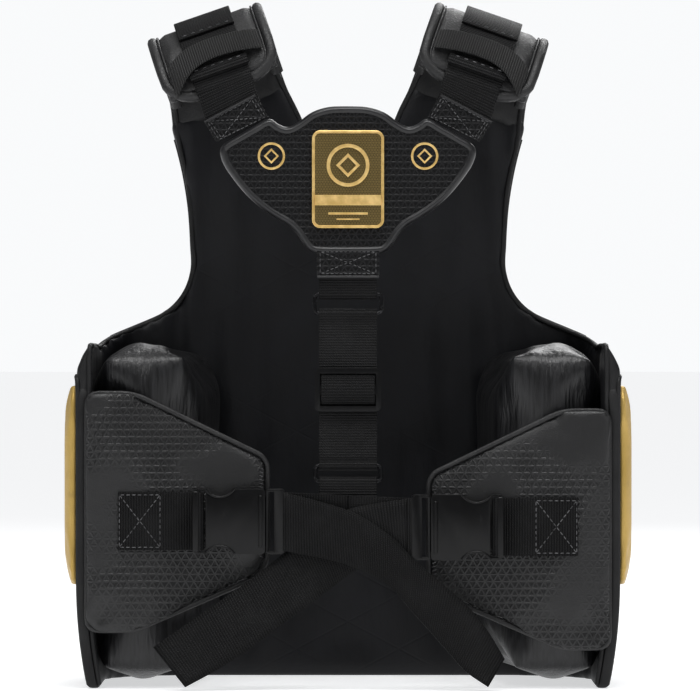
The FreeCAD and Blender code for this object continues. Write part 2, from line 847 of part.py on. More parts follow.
def belt_pieces():
    """Anchor webbing, socket, plug with its prongs, belt half and loose tail on each side."""
    web = size("web_thick")
    half_web = size("web_width") / 2
    half = size("buckle_height") / 2
    mouth = size("socket_inner_x")
    far = mouth + size("socket_length")
    base = buckle_base()
    back = base - size("buckle_thick")
    wall = size("buckle_wall")
    skin = size("buckle_skin")
    for name, s in (("left", -1), ("right", 1)):
        level = belt_level(s)
        strip = block(
            "anchor_strip_" + name,
            across(s, far - 11, size("anchor_end")),
            (flap_surface() - web, flap_surface()),
            (level - half_web, level + half_web),
        )
        riser = block(
            "anchor_riser_" + name,
            across(s, far - 10.5, far - 10.5 + web * 2),
            (back + 2, flap_surface() - web),
            (level - half_web, level + half_web),
        )
        keep(fuse("anchor_webbing_" + name, [strip, riser]), "anchor_web_" + name)
        shell = rounded(
            "socket_shell_" + name,
            block(
                "socket_block_" + name,
                across(s, mouth, far),
                (back, base),
                (level - half, level + half),
            ),
            3.5,
            "y",
        )
        room = block(
            "socket_room_" + name,
            across(s, mouth - 1, far - 14),
            (back + skin, base - skin),
            (level - half + wall, level + half - wall),
        )
        slot = block(
            "socket_slot_" + name,
            across(s, far - 11, far - 5),
            (back - 1, base + 1),
            (level - half_web - 1, level + half_web + 1),
        )
        scallops = [
            rod(
                "scallop_%s_%s" % (edge, name),
                size("scallop_radius"),
                (mouth + 39) * s,
                base + 1,
                level + (half + 8) * up,
                size("buckle_thick") + 2,
                ALONG_BACK,
            )
            for edge, up in (("top", 1), ("low", -1))
        ]
        keep(cut("socket_" + name, shell, [room, slot] + scallops), "buckle_socket_" + name)
        plug(name, s, level, base, back)
        belt_half(name, s)


def plug(name, s, level, base, back):
    """The plug: a frame with the bar for the belt, a guide, and two prongs that press inwards."""
    half = size("buckle_height") / 2
    mouth = size("socket_inner_x")
    gap = size("fit_gap")
    skin = size("buckle_skin")
    near = mouth - gap - size("plug_length")
    half_web = size("web_width") / 2
    frame = rounded(
        "plug_frame_" + name,
        block(
            "plug_block_" + name,
            across(s, near, mouth - gap),
            (back + 1.5, base - 1.5),
            (level - half, level + half),
        ),
        3,
        "y",
    )
    slot = block(
        "plug_slot_" + name,
        across(s, near + 9, mouth - gap - 2),
        (back, base),
        (level - half_web - 0.5, level + half_web + 0.5),
    )
    inside = half - size("buckle_wall") - gap
    neck = block(
        "plug_neck_" + name,
        across(s, mouth - gap - 2, mouth + 6),
        (back + skin + gap, base - skin - gap),
        (level - inside, level + inside),
    )
    guide = block(
        "plug_guide_" + name,
        across(s, mouth + 6, mouth + 34),
        (back + skin + gap, base - skin - gap),
        (level - 5, level + 5),
    )
    frame = cut("plug_open_" + name, frame, [slot])
    keep(fuse("plug_solid_" + name, [frame, neck, guide]), "buckle_plug_" + name)
    for edge, up in (("top", 1), ("low", -1)):
        def rise(thick):
            near, far = level + (inside - thick) * up, level + inside * up
            return (near, far) if up > 0 else (far, near)

        arm = block(
            "prong_arm_%s_%s" % (edge, name),
            across(s, mouth + 6 + gap, mouth + 46),
            (back + skin + gap, base - skin - gap),
            rise(6),
        )
        head = block(
            "prong_head_%s_%s" % (edge, name),
            across(s, mouth + 30, mouth + 46),
            (back + skin + gap, base - skin - gap),
            rise(10),
        )
        keep(fuse("prong_solid_%s_%s" % (edge, name), [arm, head]), "prong_%s_%s" % (edge, name))


def belt_half(name, s):
    """Half of the belt to the middle, and the tail that hangs across the hem."""
    web = size("web_thick")
    half_web = size("web_width") / 2
    near = size("socket_inner_x") - size("fit_gap") - size("plug_length")
    level = belt_level(s)
    meet = size("belt_z") - size("belt_drop_right") / 2
    corners = [
        (Size(0.2), meet - half_web),
        (near, level - half_web),
        (near, level + half_web),
        (Size(0.2), meet + half_web),
    ]
    layer = belt_layer()
    step = web + size("belt_layer_gap")
    plate("waist_strap_" + name, corners, layer, web, mirror=s)
    lift = size("tail_lift")
    if s < 0:
        corners = [
            (near, level + half_web),
            (24, 162),
            (-6, 153),
            (-36, 133),
            (-53, 110),
            (-77, 92),
            (-97, 77),
            (-116, 54),
            (-134, 27),
            (-128, lift + 11),
            (-120, lift),
            (-101, 12 + lift),
            (-77, 43),
            (-54, 69),
            (-38, 88),
            (-7, 106),
            (24, 114),
            (near, level - half_web),
        ]
        plate("belt_tail_left", corners, layer - step * 2, web, mirror=-1)
    else:
        corners = [
            (near, level + half_web),
            (-7, 153),
            (-49, 122),
            (-57, 110),
            (-167, 37),
            (-139.5, lift),
            (-120, 9 + lift),
            (-78, 40),
            (9, 104),
            (near, level - half_web),
        ]
        plate("belt_tail_right", corners, layer - step, web, mirror=1)


vest_shell()
raised_pads()
kidney_pads()
shoulders()
yoke()
back_strap()
flaps()
belt_pieces()
doc.recompute()

for thing in doc.Objects:
    if "Invalid" in thing.State or "Error" in thing.State:
        raise SystemExit("%s did not rebuild: %s" % (thing.Label, thing.State))
for thing in SUB_PARTS:
    if thing.Shape.isNull() or not thing.Shape.isValid() or thing.Shape.Volume <= 0:
        raise SystemExit("%s has no valid shape" % thing.Label)

os.makedirs("parts", exist_ok=True)
for thing in SUB_PARTS:
    thing.Shape.exportStep("parts/%s.step" % thing.Label)
print(len(SUB_PARTS), "sub-parts written")
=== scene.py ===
import math

import bmesh
import bpy
from mathutils import Matrix, Vector, noise
from mathutils.bvhtree import BVHTree


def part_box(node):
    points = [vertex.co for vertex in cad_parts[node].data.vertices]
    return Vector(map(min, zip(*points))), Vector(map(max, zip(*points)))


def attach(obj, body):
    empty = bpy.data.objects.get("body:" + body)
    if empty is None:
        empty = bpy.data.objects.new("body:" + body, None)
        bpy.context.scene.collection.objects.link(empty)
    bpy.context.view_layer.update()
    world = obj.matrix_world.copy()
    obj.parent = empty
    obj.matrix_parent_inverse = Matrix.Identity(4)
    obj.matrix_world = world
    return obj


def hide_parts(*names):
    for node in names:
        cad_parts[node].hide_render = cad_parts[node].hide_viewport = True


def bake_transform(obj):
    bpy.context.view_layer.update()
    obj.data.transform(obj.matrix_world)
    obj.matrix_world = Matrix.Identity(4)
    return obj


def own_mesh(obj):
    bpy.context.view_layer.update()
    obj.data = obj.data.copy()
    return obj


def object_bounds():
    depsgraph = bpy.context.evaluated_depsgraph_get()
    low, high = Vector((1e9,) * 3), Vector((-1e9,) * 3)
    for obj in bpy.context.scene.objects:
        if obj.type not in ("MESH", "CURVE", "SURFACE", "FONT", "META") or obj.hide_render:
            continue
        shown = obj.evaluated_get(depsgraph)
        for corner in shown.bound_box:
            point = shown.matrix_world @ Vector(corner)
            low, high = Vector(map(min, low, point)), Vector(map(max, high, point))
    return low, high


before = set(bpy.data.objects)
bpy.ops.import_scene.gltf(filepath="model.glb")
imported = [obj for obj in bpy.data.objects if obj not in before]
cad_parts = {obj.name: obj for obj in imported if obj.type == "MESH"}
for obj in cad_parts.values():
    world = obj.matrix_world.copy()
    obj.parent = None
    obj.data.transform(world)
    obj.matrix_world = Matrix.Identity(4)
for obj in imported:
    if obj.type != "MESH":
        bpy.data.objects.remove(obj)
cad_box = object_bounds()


# ---------------------------------------------------------------- studio
# A pale floor that runs far past the pad, a soft lamp to each side of the camera, one above and one
# in front, a wide soft sky, and a long lens at half the pad's height, square to the open back.

def nothing_selected():
    if bpy.context.object and bpy.context.object.mode != "OBJECT":
        bpy.ops.object.mode_set(mode="OBJECT")
    bpy.ops.object.select_all(action="DESELECT")


def only(*things):
    """Selects these objects and nothing else, the first of them active."""
    nothing_selected()
    for thing in things:
        thing.select_set(True)
    bpy.context.view_layer.objects.active = things[0]


def placed(name, data):
    """A new object in the scene that holds this data."""
    thing = bpy.data.objects.new(name, data)
    bpy.context.scene.collection.objects.link(thing)
    return thing


nothing_selected()
bpy.ops.mesh.primitive_circle_add(vertices=96, radius=70, fill_type="NGON", location=(0, 0, 0))
floor = bpy.context.object
floor.name = "studio_floor"

world = bpy.data.worlds.new("studio_air")
world.use_nodes = True
air = world.node_tree.nodes["Background"]
air.inputs["Color"].default_value = (0.95, 0.96, 0.98, 1)
backdrop = world.node_tree.nodes.new("ShaderNodeBackground")
backdrop.inputs["Color"].default_value = (0.95, 0.96, 0.97, 1)
seen = world.node_tree.nodes.new("ShaderNodeLightPath")
either = world.node_tree.nodes.new("ShaderNodeMixShader")
air.inputs["Strength"].default_value = 0.15
wires = world.node_tree.links
wires.new(seen.outputs["Is Camera Ray"], either.inputs[0])
wires.new(air.outputs[0], either.inputs[1])
wires.new(backdrop.outputs[0], either.inputs[2])
wires.new(either.outputs[0], world.node_tree.nodes["World Output"].inputs["Surface"])
bpy.context.scene.world = world
bpy.context.scene.view_settings.view_transform = "Standard"


def lamp(name, place, aim, size, power):
    light = bpy.data.lights.new(name, "AREA")
    light.shape = "RECTANGLE"
    light.size, light.size_y = size
    light.energy = power
    thing = placed(name, light)
    thing.location = place
    thing.rotation_euler = (Vector(aim) - Vector(place)).to_track_quat("-Z", "Y").to_euler()


lamp("key_lamp", (-1.3, -2.2, 2.4), (0, 0, 0.40), (1.2, 0.9), 16)
lamp("fill_lamp", (1.8, -2.3, 1.9), (0, 0, 0.40), (0.9, 1.2), 8)
lamp("top_lamp", (0.1, -0.7, 2.5), (0, 0, 0.40), (1.6, 0.7), 32)
lamp("front_lamp", (0.8, 3.2, 2.2), (0, 0, 0.3), (1.8, 1.4), 34)

sky = bpy.data.lights.new("overhead_sky", "SUN")
sky.energy = 1.0
sky.angle = math.radians(70)
placed("overhead_sky", sky)

lens = bpy.data.cameras.new("studio_camera")
lens.sensor_width = 36
lens.lens = 287
camera = placed("studio_camera", lens)
rear = cad_box[0][1]
camera.location = (0.0017, rear - 4.78, 0.292)
camera.rotation_euler = (math.radians(90), 0, 0)
bpy.context.scene.camera = camera


# ---------------------------------------------------------------- vest shell
# One thick foam body: black grained cowhide-look cover outside, quilted night-blue lining inside,
# and cloth tape over every cut edge. The foam pushes both skins out between the edges.

class Wire:
    """One value socket of a finish. Sums, products and comparisons on it add Math nodes."""

    def __init__(self, finish, socket):
        self.finish, self.socket = finish, socket

    def math(self, operation, *others):
        return self.finish.add("Math", {"operation": operation}, self, *others)

    def __add__(self, other):
        return self.math("ADD", other)

    def __sub__(self, other):
        return self.math("SUBTRACT", other)

    def __mul__(self, other):
        return self.math("MULTIPLY", other)

    def __rsub__(self, other):
        return self * -1 + other

    __radd__ = __add__
    __rmul__ = __mul__

    def ramp(self, low, high, start=0.0, end=1.0):
        settings = {"interpolation_type": "SMOOTHSTEP"}
        return self.finish.add("MapRange", settings, self, low, high, start, end)


class Finish:
    """A material named for a finish of this pad, with one method that adds its nodes."""

    def __init__(self, name, slot):
        self.material = bpy.data.materials.new(name)
        self.material.use_nodes = True
        self.nodes = self.material.node_tree.nodes
        self.links = self.material.node_tree.links
        self.skin = self.nodes["Principled BSDF"]
        self.slot = slot

    def feed(self, socket, value):
        if isinstance(value, Wire):
            self.links.new(value.socket, socket)
        elif isinstance(value, tuple) and len(value) == 3 and socket.type == "RGBA":
            socket.default_value = value + (1,)
        else:
            socket.default_value = value

    def add(self, kind, settings=None, *values, out=0, **named):
        node = self.nodes.new("ShaderNode" + kind)
        for key, value in (settings or {}).items():
            setattr(node, key, value)
        for socket, value in zip(node.inputs, values):
            if value is not None:
                self.feed(socket, value)
        for key, value in named.items():
            self.feed(node.inputs[key.replace("_", " ")], value)
        return Wire(self, node.outputs[out])

    def place(self, uv=None):
        """Object coordinates, or a UV map laid out in metres."""
        if uv:
            return self.add("UVMap", {"uv_map": uv})
        return self.add("TexCoord", out=3)

    def split(self, vector):
        first = self.add("SeparateXYZ", None, vector)
        node = first.socket.node
        return [Wire(self, node.outputs[i]) for i in range(3)]

    def stretched(self, vector, scale):
        return self.add("Mapping", None, vector, Scale=scale)

    def speckle(self, vector, scale, detail=3.0):
        return self.add("TexNoise", None, Vector=vector, Scale=scale, Detail=detail, Roughness=0.55)

    def cells(self, vector, scale):
        return self.add("TexVoronoi", None, Vector=vector, Scale=scale)

    def net(self, place, pitch, tilts, inside, outside):
        """How near a point is to the lines of a net, seen from behind: 1 on a line."""
        across, _, up = self.split(place)
        nearest = None
        for tilt in tilts:
            turned = across * math.cos(math.radians(tilt)) + up * math.sin(math.radians(tilt))
            line = (turned * (1 / pitch)).math("PINGPONG", 0.5).ramp(inside, outside, 1.0, 0.0)
            nearest = line if nearest is None else nearest.math("MAXIMUM", line)
        return nearest

    def blend(self, factor, first, second):
        """A colour between two, by a factor."""
        node = self.nodes.new("ShaderNodeMix")
        node.data_type = "RGBA"
        self.feed(node.inputs[0], factor)
        self.feed(node.inputs[6], first)
        self.feed(node.inputs[7], second)
        return Wire(self, node.outputs[2])

    def relief(self, height, depth, over=None):
        """Raises the surface by a height map, on top of another relief."""
        extra = {"Normal": over} if over else {}
        return self.add("Bump", None, Strength=1.0, Distance=depth, Height=height, **extra)

    def finished(self, colour, rough, normal=None, metal=0.0, sheen=0.0, gloss=0.3):
        self.feed(self.skin.inputs["Base Color"], colour)
        self.feed(self.skin.inputs["Roughness"], rough)
        self.feed(self.skin.inputs["Metallic"], metal)
        self.skin.inputs["Specular IOR Level"].default_value = gloss
        self.skin.inputs["Sheen Weight"].default_value = sheen
        self.skin.inputs["Sheen Roughness"].default_value = 0.4
        if normal:
            self.feed(self.skin.inputs["Normal"], normal)
        return self


def dress(thing, *finishes):
    """Gives a piece its finishes."""
    thing.data.materials.clear()
    for finish in finishes:
        thing.data.materials.append(finish.material)
    return thing


def grained_leather():
    finish = Finish("grained_leather", "cover_leather")
    place = finish.place()
    grain = finish.cells(place, 620)
    fine = finish.speckle(place, 1400)
    patches = finish.speckle(place, 16, 2)
    normal = finish.relief(grain * 0.7 + fine * 0.5, 0.00022)
    colour = finish.blend(patches.ramp(0.3, 0.75), (0.006, 0.006, 0.0065), (0.012, 0.012, 0.0125))
    return finish.finished(colour, patches * 0.12 + fine * 0.10 + 0.34, normal)


def quilted_lining():
    """Night-blue polyester with a soft sheen, pressed with long crossing diagonal lines."""
    finish = Finish("quilted_lining", "lining_cloth")
    place = finish.place()
    lines = finish.net(place, 0.043, (62, -62), 0.0, 0.035)
    shown = finish.speckle(place, 9, 2).ramp(0.42, 0.60)
    mottle = finish.speckle(place, 26, 4)
    weave = finish.speckle(finish.stretched(place, (1, 1, 0.45)), 900, 2)
    soft = finish.speckle(finish.stretched(place, (1, 1, 0.32)), 34, 3)
    normal = finish.relief(weave, 0.00014)
    normal = finish.relief(soft, 0.0022, normal)
    normal = finish.relief(lines * shown, -0.00016, normal)
    colour = finish.blend(mottle.ramp(0.3, 0.8), (0.0018, 0.0020, 0.0030), (0.0046, 0.0050, 0.0070))
    rough = mottle * 0.22 + weave * 0.12 + 0.36
    return finish.finished(colour, rough, normal, sheen=0.01, gloss=0.28)


def woven_tape():
    finish = Finish("woven_tape", "edge_tape")
    place = finish.place()
    threads = finish.speckle(place, 1100, 2)
    worn = finish.speckle(place, 30, 2)
    colour = finish.blend(worn.ramp(0.3, 0.8), (0.0055, 0.0055, 0.006), (0.013, 0.013, 0.0135))
    return finish.finished(colour, threads * 0.2 + 0.42, finish.relief(threads, 0.0003))


leather = grained_leather()
lining = quilted_lining()
tape = woven_tape()

CAVITY_HALF = 0.221
CAVITY_FRONT = 0.084
CAVITY_ROUND = 0.074
OUTER_HALF = 0.235
OUTER_FRONT = 0.128
OUTER_ROUND = 0.100
SLOPE_START = 0.430
SHOULDER_FRONT = 0.104
SHOULDER_LEVEL = 0.5165
SLOPE = (OUTER_FRONT - SHOULDER_FRONT) / (SHOULDER_LEVEL - SLOPE_START)


def wall_y(x, half, front, radius):
    """Y of a wall of the vest in plan: flat in front, round at the corner."""
    past = abs(x) - (half - radius)
    if past <= 0:
        return front
    return front - radius + math.sqrt(max(radius * radius - past * past, 0))


def inner_y(x):
    return wall_y(x, CAVITY_HALF, CAVITY_FRONT, CAVITY_ROUND)


def outer_y(x, z):
    return wall_y(x, OUTER_HALF, OUTER_FRONT, OUTER_ROUND) - max(z - SLOPE_START, 0) * SLOPE


def from_bmesh(name, work):
    mesh = bpy.data.meshes.new(name)
    work.to_mesh(mesh)
    work.free()
    return placed(name, mesh)


def cad_copy(name, *nodes):
    """A closed working copy of CAD solids, as one mesh with its doubles merged."""
    work = bmesh.new()
    for node in nodes:
        work.from_mesh(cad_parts[node].data)
    bmesh.ops.remove_doubles(work, verts=work.verts, dist=0.00002)
    return from_bmesh(name, work)


def apply_all(thing):
    only(thing)
    for modifier in list(thing.modifiers):
        bpy.ops.object.modifier_apply(modifier=modifier.name)


def voxelled(thing, size):
    modifier = thing.modifiers.new("even_grid", "REMESH")
    modifier.mode = "VOXEL"
    modifier.voxel_size = size
    apply_all(thing)


def eased(thing, turns, factor=0.5):
    modifier = thing.modifiers.new("eased", "SMOOTH")
    modifier.iterations = turns
    modifier.factor = factor
    apply_all(thing)


def refined(thing, levels=1):
    modifier = thing.modifiers.new("refined", "SUBSURF")
    modifier.levels = modifier.render_levels = levels
    apply_all(thing)


def smooth_faces(thing):
    only(thing)
    bpy.ops.object.shade_smooth()


def stuffed(thing, most, held=None, frames=20, pressure=4.0):
    """Blows a pad up under its cover by cloth simulation, each point moving at most `most`."""
    before = [vertex.co.copy() for vertex in thing.data.vertices]
    cloth = thing.modifiers.new("stuffing", "CLOTH")
    cloth.settings.use_pressure = True
    cloth.settings.uniform_pressure_force = pressure
    cloth.settings.quality = 4
    cloth.settings.mass = 0.3
    cloth.settings.tension_stiffness = 12
    cloth.settings.compression_stiffness = 12
    cloth.settings.shear_stiffness = 4
    cloth.settings.bending_stiffness = 0.4
    cloth.settings.effector_weights.gravity = 0
    cloth.collision_settings.use_collision = False
    if held:
        group = thing.vertex_groups.new(name="held")
        group.add([v.index for v in thing.data.vertices if held(v.co)], 1.0, "REPLACE")
        cloth.settings.vertex_group_mass = "held"
    cloth.point_cache.frame_start = 1
    cloth.point_cache.frame_end = frames
    for step in range(1, frames + 1):
        bpy.context.scene.frame_set(step)
    depsgraph = bpy.context.evaluated_depsgraph_get()
    after = [vertex.co.copy() for vertex in thing.evaluated_get(depsgraph).data.vertices]
    thing.modifiers.remove(cloth)
    for vertex, old, new in zip(thing.data.vertices, before, after):
        move = new - old
        if move.length > most:
            move = move * (most / move.length)
        vertex.co = old + move
    bpy.context.scene.frame_set(1)


VEST_NODES = (
    "outer_cover", "foam_core", "inner_lining", "hem_binding", "neck_binding",
    "armhole_binding_left", "armhole_binding_right", "wing_binding_left", "wing_binding_right",
)
vest = cad_copy("vest_body", *VEST_NODES)
voxelled(vest, 0.0052)
eased(vest, 4)

# Soft upright folds run down the lining towards the corners; the cover swells a little in front.
for vertex in vest.data.vertices:
    x, y, z = vertex.co
    near_edge = min(max(z / 0.03, 0), 1)
    inside = abs(x) < CAVITY_HALF + 0.004 and y < inner_y(x) + 0.006
    if inside and y > -0.09:
        side = min(max((abs(x) - 0.045) / 0.09, 0), 1)
        sway = 0.5 * noise.noise(Vector((x * 6, y * 6, z * 3.1)))
        ripple = math.sin(abs(x) * 165 + y * 60 + sway * 6 + z * 7)
        lumps = noise.noise(Vector((x * 17, y * 17, z * 8)))
        depth = (0.0024 * side * ripple + 0.0042 * lumps) * near_edge
        if abs(x) < CAVITY_HALF - CAVITY_ROUND:
            vertex.co.y += depth
        else:
            inward = Vector((CAVITY_HALF - CAVITY_ROUND - abs(x), 0.010 - y, 0)).normalized()
            inward.x *= 1 if x > 0 else -1
            vertex.co += inward * depth
    elif y > outer_y(x, z) - 0.006 or abs(x) > OUTER_HALF - 0.004:
        swell = 0.0012 * noise.noise(Vector((x * 14, y * 14, z * 11))) * near_edge
        vertex.co += Vector((x, max(y, 0.0) * 2, 0)).normalized() * swell


def drawn_in(x, z):
    """The foot of each wing is drawn in towards the middle."""
    return x * (1 - 0.042 * max(1 - z / 0.09, 0) ** 2)


for vertex in vest.data.vertices:
    vertex.co.x = drawn_in(vertex.co.x, vertex.co.z)
refined(vest)
smooth_faces(vest)
dress(vest, leather, lining, tape)
for face in vest.data.polygons:
    x, y, z = face.center
    on_inside = y < inner_y(x) + 0.0045 and abs(x) < CAVITY_HALF + 0.0035 and y > -0.1022
    flat_edge = abs(face.normal.z) > 0.62 or face.normal.y < -0.8 and y < -0.095
    on_outside = y > outer_y(x, z) - 0.005 or abs(x) > OUTER_HALF - 0.0045
    if on_inside and not flat_edge:
        face.material_index = 1
    elif flat_edge or not on_outside:
        face.material_index = 2
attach(vest, "vest")
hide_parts(*VEST_NODES)


# ---------------------------------------------------------------- front of the shoulders
# The vest's own front rises into a padded end over each shoulder, which the webbing is sewn under.

def mirrored(thing, name):
    """A copy on the other side of the middle, with its own mesh and its faces outwards."""
    twin = thing.copy()
    twin.data = thing.data.copy()
    twin.name = name
    bpy.context.scene.collection.objects.link(twin)
    twin.data.transform(Matrix.Scale(-1, 4, (1, 0, 0)))
    twin.data.flip_normals()
    return twin


SHOULDER = Vector((0.105, -0.012, SHOULDER_LEVEL))
SHOULDER_TILT = math.radians(19)
ARCH_DEPTH = 0.091
ARCH_RISE = 0.068
END_HALF = 0.0485
END_INNER, END_OUTER = 0.0046, 0.0226  # the vest's end lies between these heights off the pad


def on_arch(turn, over, lift):
    """A place on the right shoulder: angle from the rear, distance across, height off the pad."""
    y = -(ARCH_DEPTH + lift) * math.cos(turn)
    z = (ARCH_RISE + lift) * math.sin(turn)
    tilt = SHOULDER_TILT
    return SHOULDER + Vector((
        over * math.cos(tilt) + z * math.sin(tilt), y, z * math.cos(tilt) - over * math.sin(tilt)
    ))


def end_flare(turn):
    """How far the vest's shoulder end reaches outwards: wider at its foot, where the armhole is."""
    foot = min(max((math.degrees(turn) - 150) / 30, 0), 1)
    return END_HALF + 0.0100 * foot * foot


def front_end():
    piece = cad_copy("shoulder_front_end_right", "shoulder_front_right")
    voxelled(piece, 0.005)
    for vertex in piece.data.vertices:
        away = vertex.co - SHOULDER
        tilt = SHOULDER_TILT
        over = away.x * math.cos(tilt) - away.z * math.sin(tilt)
        up = away.z * math.cos(tilt) + away.x * math.sin(tilt)
        depth = math.hypot(away.y / ARCH_DEPTH, up / ARCH_RISE)
        turn = math.pi - math.atan2(up / ARCH_RISE, away.y / ARCH_DEPTH)
        lift = (depth - 1) * ARCH_DEPTH
        over *= end_flare(turn) / END_HALF * 0.97 if over > 0 else 1.03
        vertex.co = on_arch(turn, over, END_INNER + 0.0015 + (lift - END_INNER) * 0.84)
        if turn > math.radians(172):
            vertex.co -= Vector((math.sin(tilt), 0, math.cos(tilt))) * 0.012
    eased(piece, 3)
    stuffed(piece, 0.0025)
    refined(piece)
    smooth_faces(piece)
    dress(piece, leather)
    return piece


def padded_pair(right, node):
    """Fixes a padded piece and its mirror image to the vest."""
    left = mirrored(right, right.name.replace("right", "left"))
    for piece, side in ((right, "right"), (left, "left")):
        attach(piece, "vest")
        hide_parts(node + side)
    return left


front_right = front_end()
front_left = padded_pair(front_right, "shoulder_front_")


# ---------------------------------------------------------------- edge piping
# Thin round piping is caught in every seam of the vest's edge: one run where the tape meets the
# lining and one where it meets the cover, each from the hem up the wing, over it, round the
# armhole and up to the shoulder, and one along each side of the neck.

HALF_ARM = 0.141


def smooth_run(points, steps=8):
    """Points along a smooth curve that passes through each of the given ones."""
    points = [Vector(point) for point in points]
    ends = [points[0] * 2 - points[1]] + points + [points[-1] * 2 - points[-2]]
    run = []
    for a, b, c, d in zip(ends, ends[1:], ends[2:], ends[3:]):
        for k in range(steps):
            t = k / steps
            run.append(0.5 * (
                2 * b + (c - a) * t + (2 * a - 5 * b + 4 * c - d) * t * t
                + (3 * b - a - 3 * c + d) * t ** 3
            ))
    return run + [points[-1]]


def as_mesh(curve_object):
    only(curve_object)
    bpy.ops.object.convert(target="MESH")
    return bpy.context.object


def cord_mesh(name, runs, radius, closed=False, sides=2):
    """A round cord along one or more runs of points, as one mesh."""
    curve = bpy.data.curves.new(name, "CURVE")
    curve.dimensions = "3D"
    curve.bevel_depth = radius
    curve.bevel_resolution = sides
    curve.use_fill_caps = True
    for run in runs:
        spline = curve.splines.new("POLY")
        spline.points.add(len(run) - 1)
        for spot, point in zip(spline.points, run):
            spot.co = (*point, 1)
        spline.use_cyclic_u = closed
    thing = as_mesh(placed(name, curve))
    thing.name = name
    smooth_faces(thing)
    return thing


ARMHOLE = smooth_run([
    (0.2225, 0, 0.2945), (0.214, 0, 0.3035), (0.200, 0, 0.3085), (0.184, 0, 0.3155),
    (0.168, 0, 0.323), (0.156, 0, 0.333), (0.147, 0, 0.348), (HALF_ARM + 0.0012, 0, 0.367),
    (HALF_ARM, 0, 0.382), (0.1432, 0, 0.410), (0.1468, 0, 0.440), (0.1528, 0, 0.470),
    (0.161, 0, 0.497),
], 5)


def rim_run(wall, lift):
    """Hem, rear edge of the wing, along its top, then the armhole, on one wall of the vest."""
    x = 0.2225 if wall is inner_rim else 0.2335
    top = 0.2945 if wall is inner_rim else 0.268
    rise = [(drawn_in(x, z), -0.1056, z) for z in (0.003, 0.015, 0.03, 0.05, 0.08, 0.12, top - 0.03)]
    turn = [(x, -0.1045, top - 0.008), (x, -0.098, top + lift), (x, -0.06, top + lift)]
    along = [(x, -0.02, top + lift), (x, 0.008 if wall is inner_rim else 0.02, top + lift)]
    return smooth_run(rise + turn + along, 5) + wall(lift)


def hugging(points, closeness=0.0006):
    """Draws a run of points onto the surface of the vest, evenly."""
    for _ in range(3):
        drawn = []
        for point in points:
            spot = vest_skin.find_nearest(point)[0]
            away = point - spot
            drawn.append(spot + away.normalized() * min(away.length, closeness))
        points = [drawn[0]] + [
            (a + b * 2 + c) / 4 for a, b, c in zip(drawn, drawn[1:], drawn[2:])
        ] + [drawn[-1]]
    return points


skins = bmesh.new()
for piece in (vest, front_right, front_left):
    skins.from_mesh(piece.data)
vest_skin = BVHTree.FromBMesh(skins)
skins.free()


def up_the_shoulder(lift, start=176):
    return [on_arch(math.radians(a), end_flare(math.radians(a)), lift) for a in range(start, 139, -3)]


def inner_rim(lift):
    rim = [Vector((p.x, inner_y(min(p.x, 0.2208)), p.z + lift)) for p in ARMHOLE[2:-3]]
    return rim + up_the_shoulder(END_INNER)


def outer_rim(lift):
    rim = [
        Vector((p.x + 0.0115 * (1 - k / len(ARMHOLE)) ** 6, outer_y(p.x, p.z) - 0.001, p.z + lift))
        for k, p in enumerate(ARMHOLE)
    ]
    return rim[6:-3] + up_the_shoulder(END_OUTER)


def on_both_sides(right, finish, body="vest", node=None):
    """Dresses a piece and fixes it and its mirror image to a body."""
    dress(right, finish)
    left = mirrored(right, right.name.replace("right", "left"))
    for piece, side in ((right, "right"), (left, "left")):
        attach(piece, body)
        if node:
            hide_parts(node + side)


inner_run = hugging(rim_run(inner_rim, 0.0015))
on_both_sides(cord_mesh("armhole_piping_right", [inner_run], 0.0023), tape)
cover_run = hugging(rim_run(outer_rim, 0.001))
on_both_sides(cord_mesh("cover_piping_right", [cover_run], 0.0021), tape)

NECK = smooth_run([
    (0.055, 0, 0.526), (0.047, 0, 0.509), (0.041, 0, 0.497), (0.030, 0, 0.4765),
    (0.016, 0, 0.4605), (0.0, 0, 0.4555), (-0.016, 0, 0.4605), (-0.030, 0, 0.4765),
    (-0.041, 0, 0.497), (-0.047, 0, 0.509), (-0.055, 0, 0.526),
], 5)


def neck_run(depth, lift):
    """One shoulder end, down round the neck, and up the other."""
    up = [on_arch(math.radians(a), -0.0490, lift) for a in range(141, 177, 3)]
    other = [Vector((-p.x, p.y, p.z)) for p in reversed(up)]
    return up + [Vector((p.x, depth(p), p.z)) for p in NECK] + other


neck_piping = cord_mesh("neck_piping", [
    hugging(neck_run(lambda p: inner_y(p.x) + 0.001, END_INNER)),
    hugging(neck_run(lambda p: outer_y(p.x, p.z) - 0.001, END_OUTER)),
], 0.0021)
dress(neck_piping, tape)
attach(neck_piping, "vest")

# A gusset seam line runs round the armhole between the two piped edges.
gusset = cord_mesh("armhole_gusset_right", [
    hugging([Vector((p.x, inner_y(min(p.x, 0.22)) + 0.016, p.z)) for p in ARMHOLE[6:-3]], 0.0),
], 0.0013)
on_both_sides(gusset, tape)


# ---------------------------------------------------------------- wing tape
# A wide flat tape is folded over the rear end of each wing and sewn down along a groove.

def flat_grid(name, columns, rows):
    nothing_selected()
    bpy.ops.mesh.primitive_grid_add(x_subdivisions=columns, y_subdivisions=rows, size=1)
    strip = bpy.context.object
    strip.name = name
    return strip


def laid_out(strip, spots):
    """Gives a strip its map in metres, from one spot for each vertex."""
    uv = strip.data.uv_layers[0]
    uv.name = "cut"
    for loop in strip.data.loops:
        uv.data[loop.index].uv = spots[loop.vertex_index]


def thickened(thing, thick, offset=0):
    wall = thing.modifiers.new("thickness", "SOLIDIFY")
    wall.thickness = thick
    wall.offset = offset


def rounded(thing, width, segments=2, angle=30):
    """Rounds the edges that turn by more than this angle, and applies all modifiers."""
    rounding = thing.modifiers.new("rounded_edges", "BEVEL")
    rounding.width = width
    rounding.segments = segments
    rounding.limit_method = "ANGLE"
    rounding.angle_limit = math.radians(angle)
    apply_all(thing)


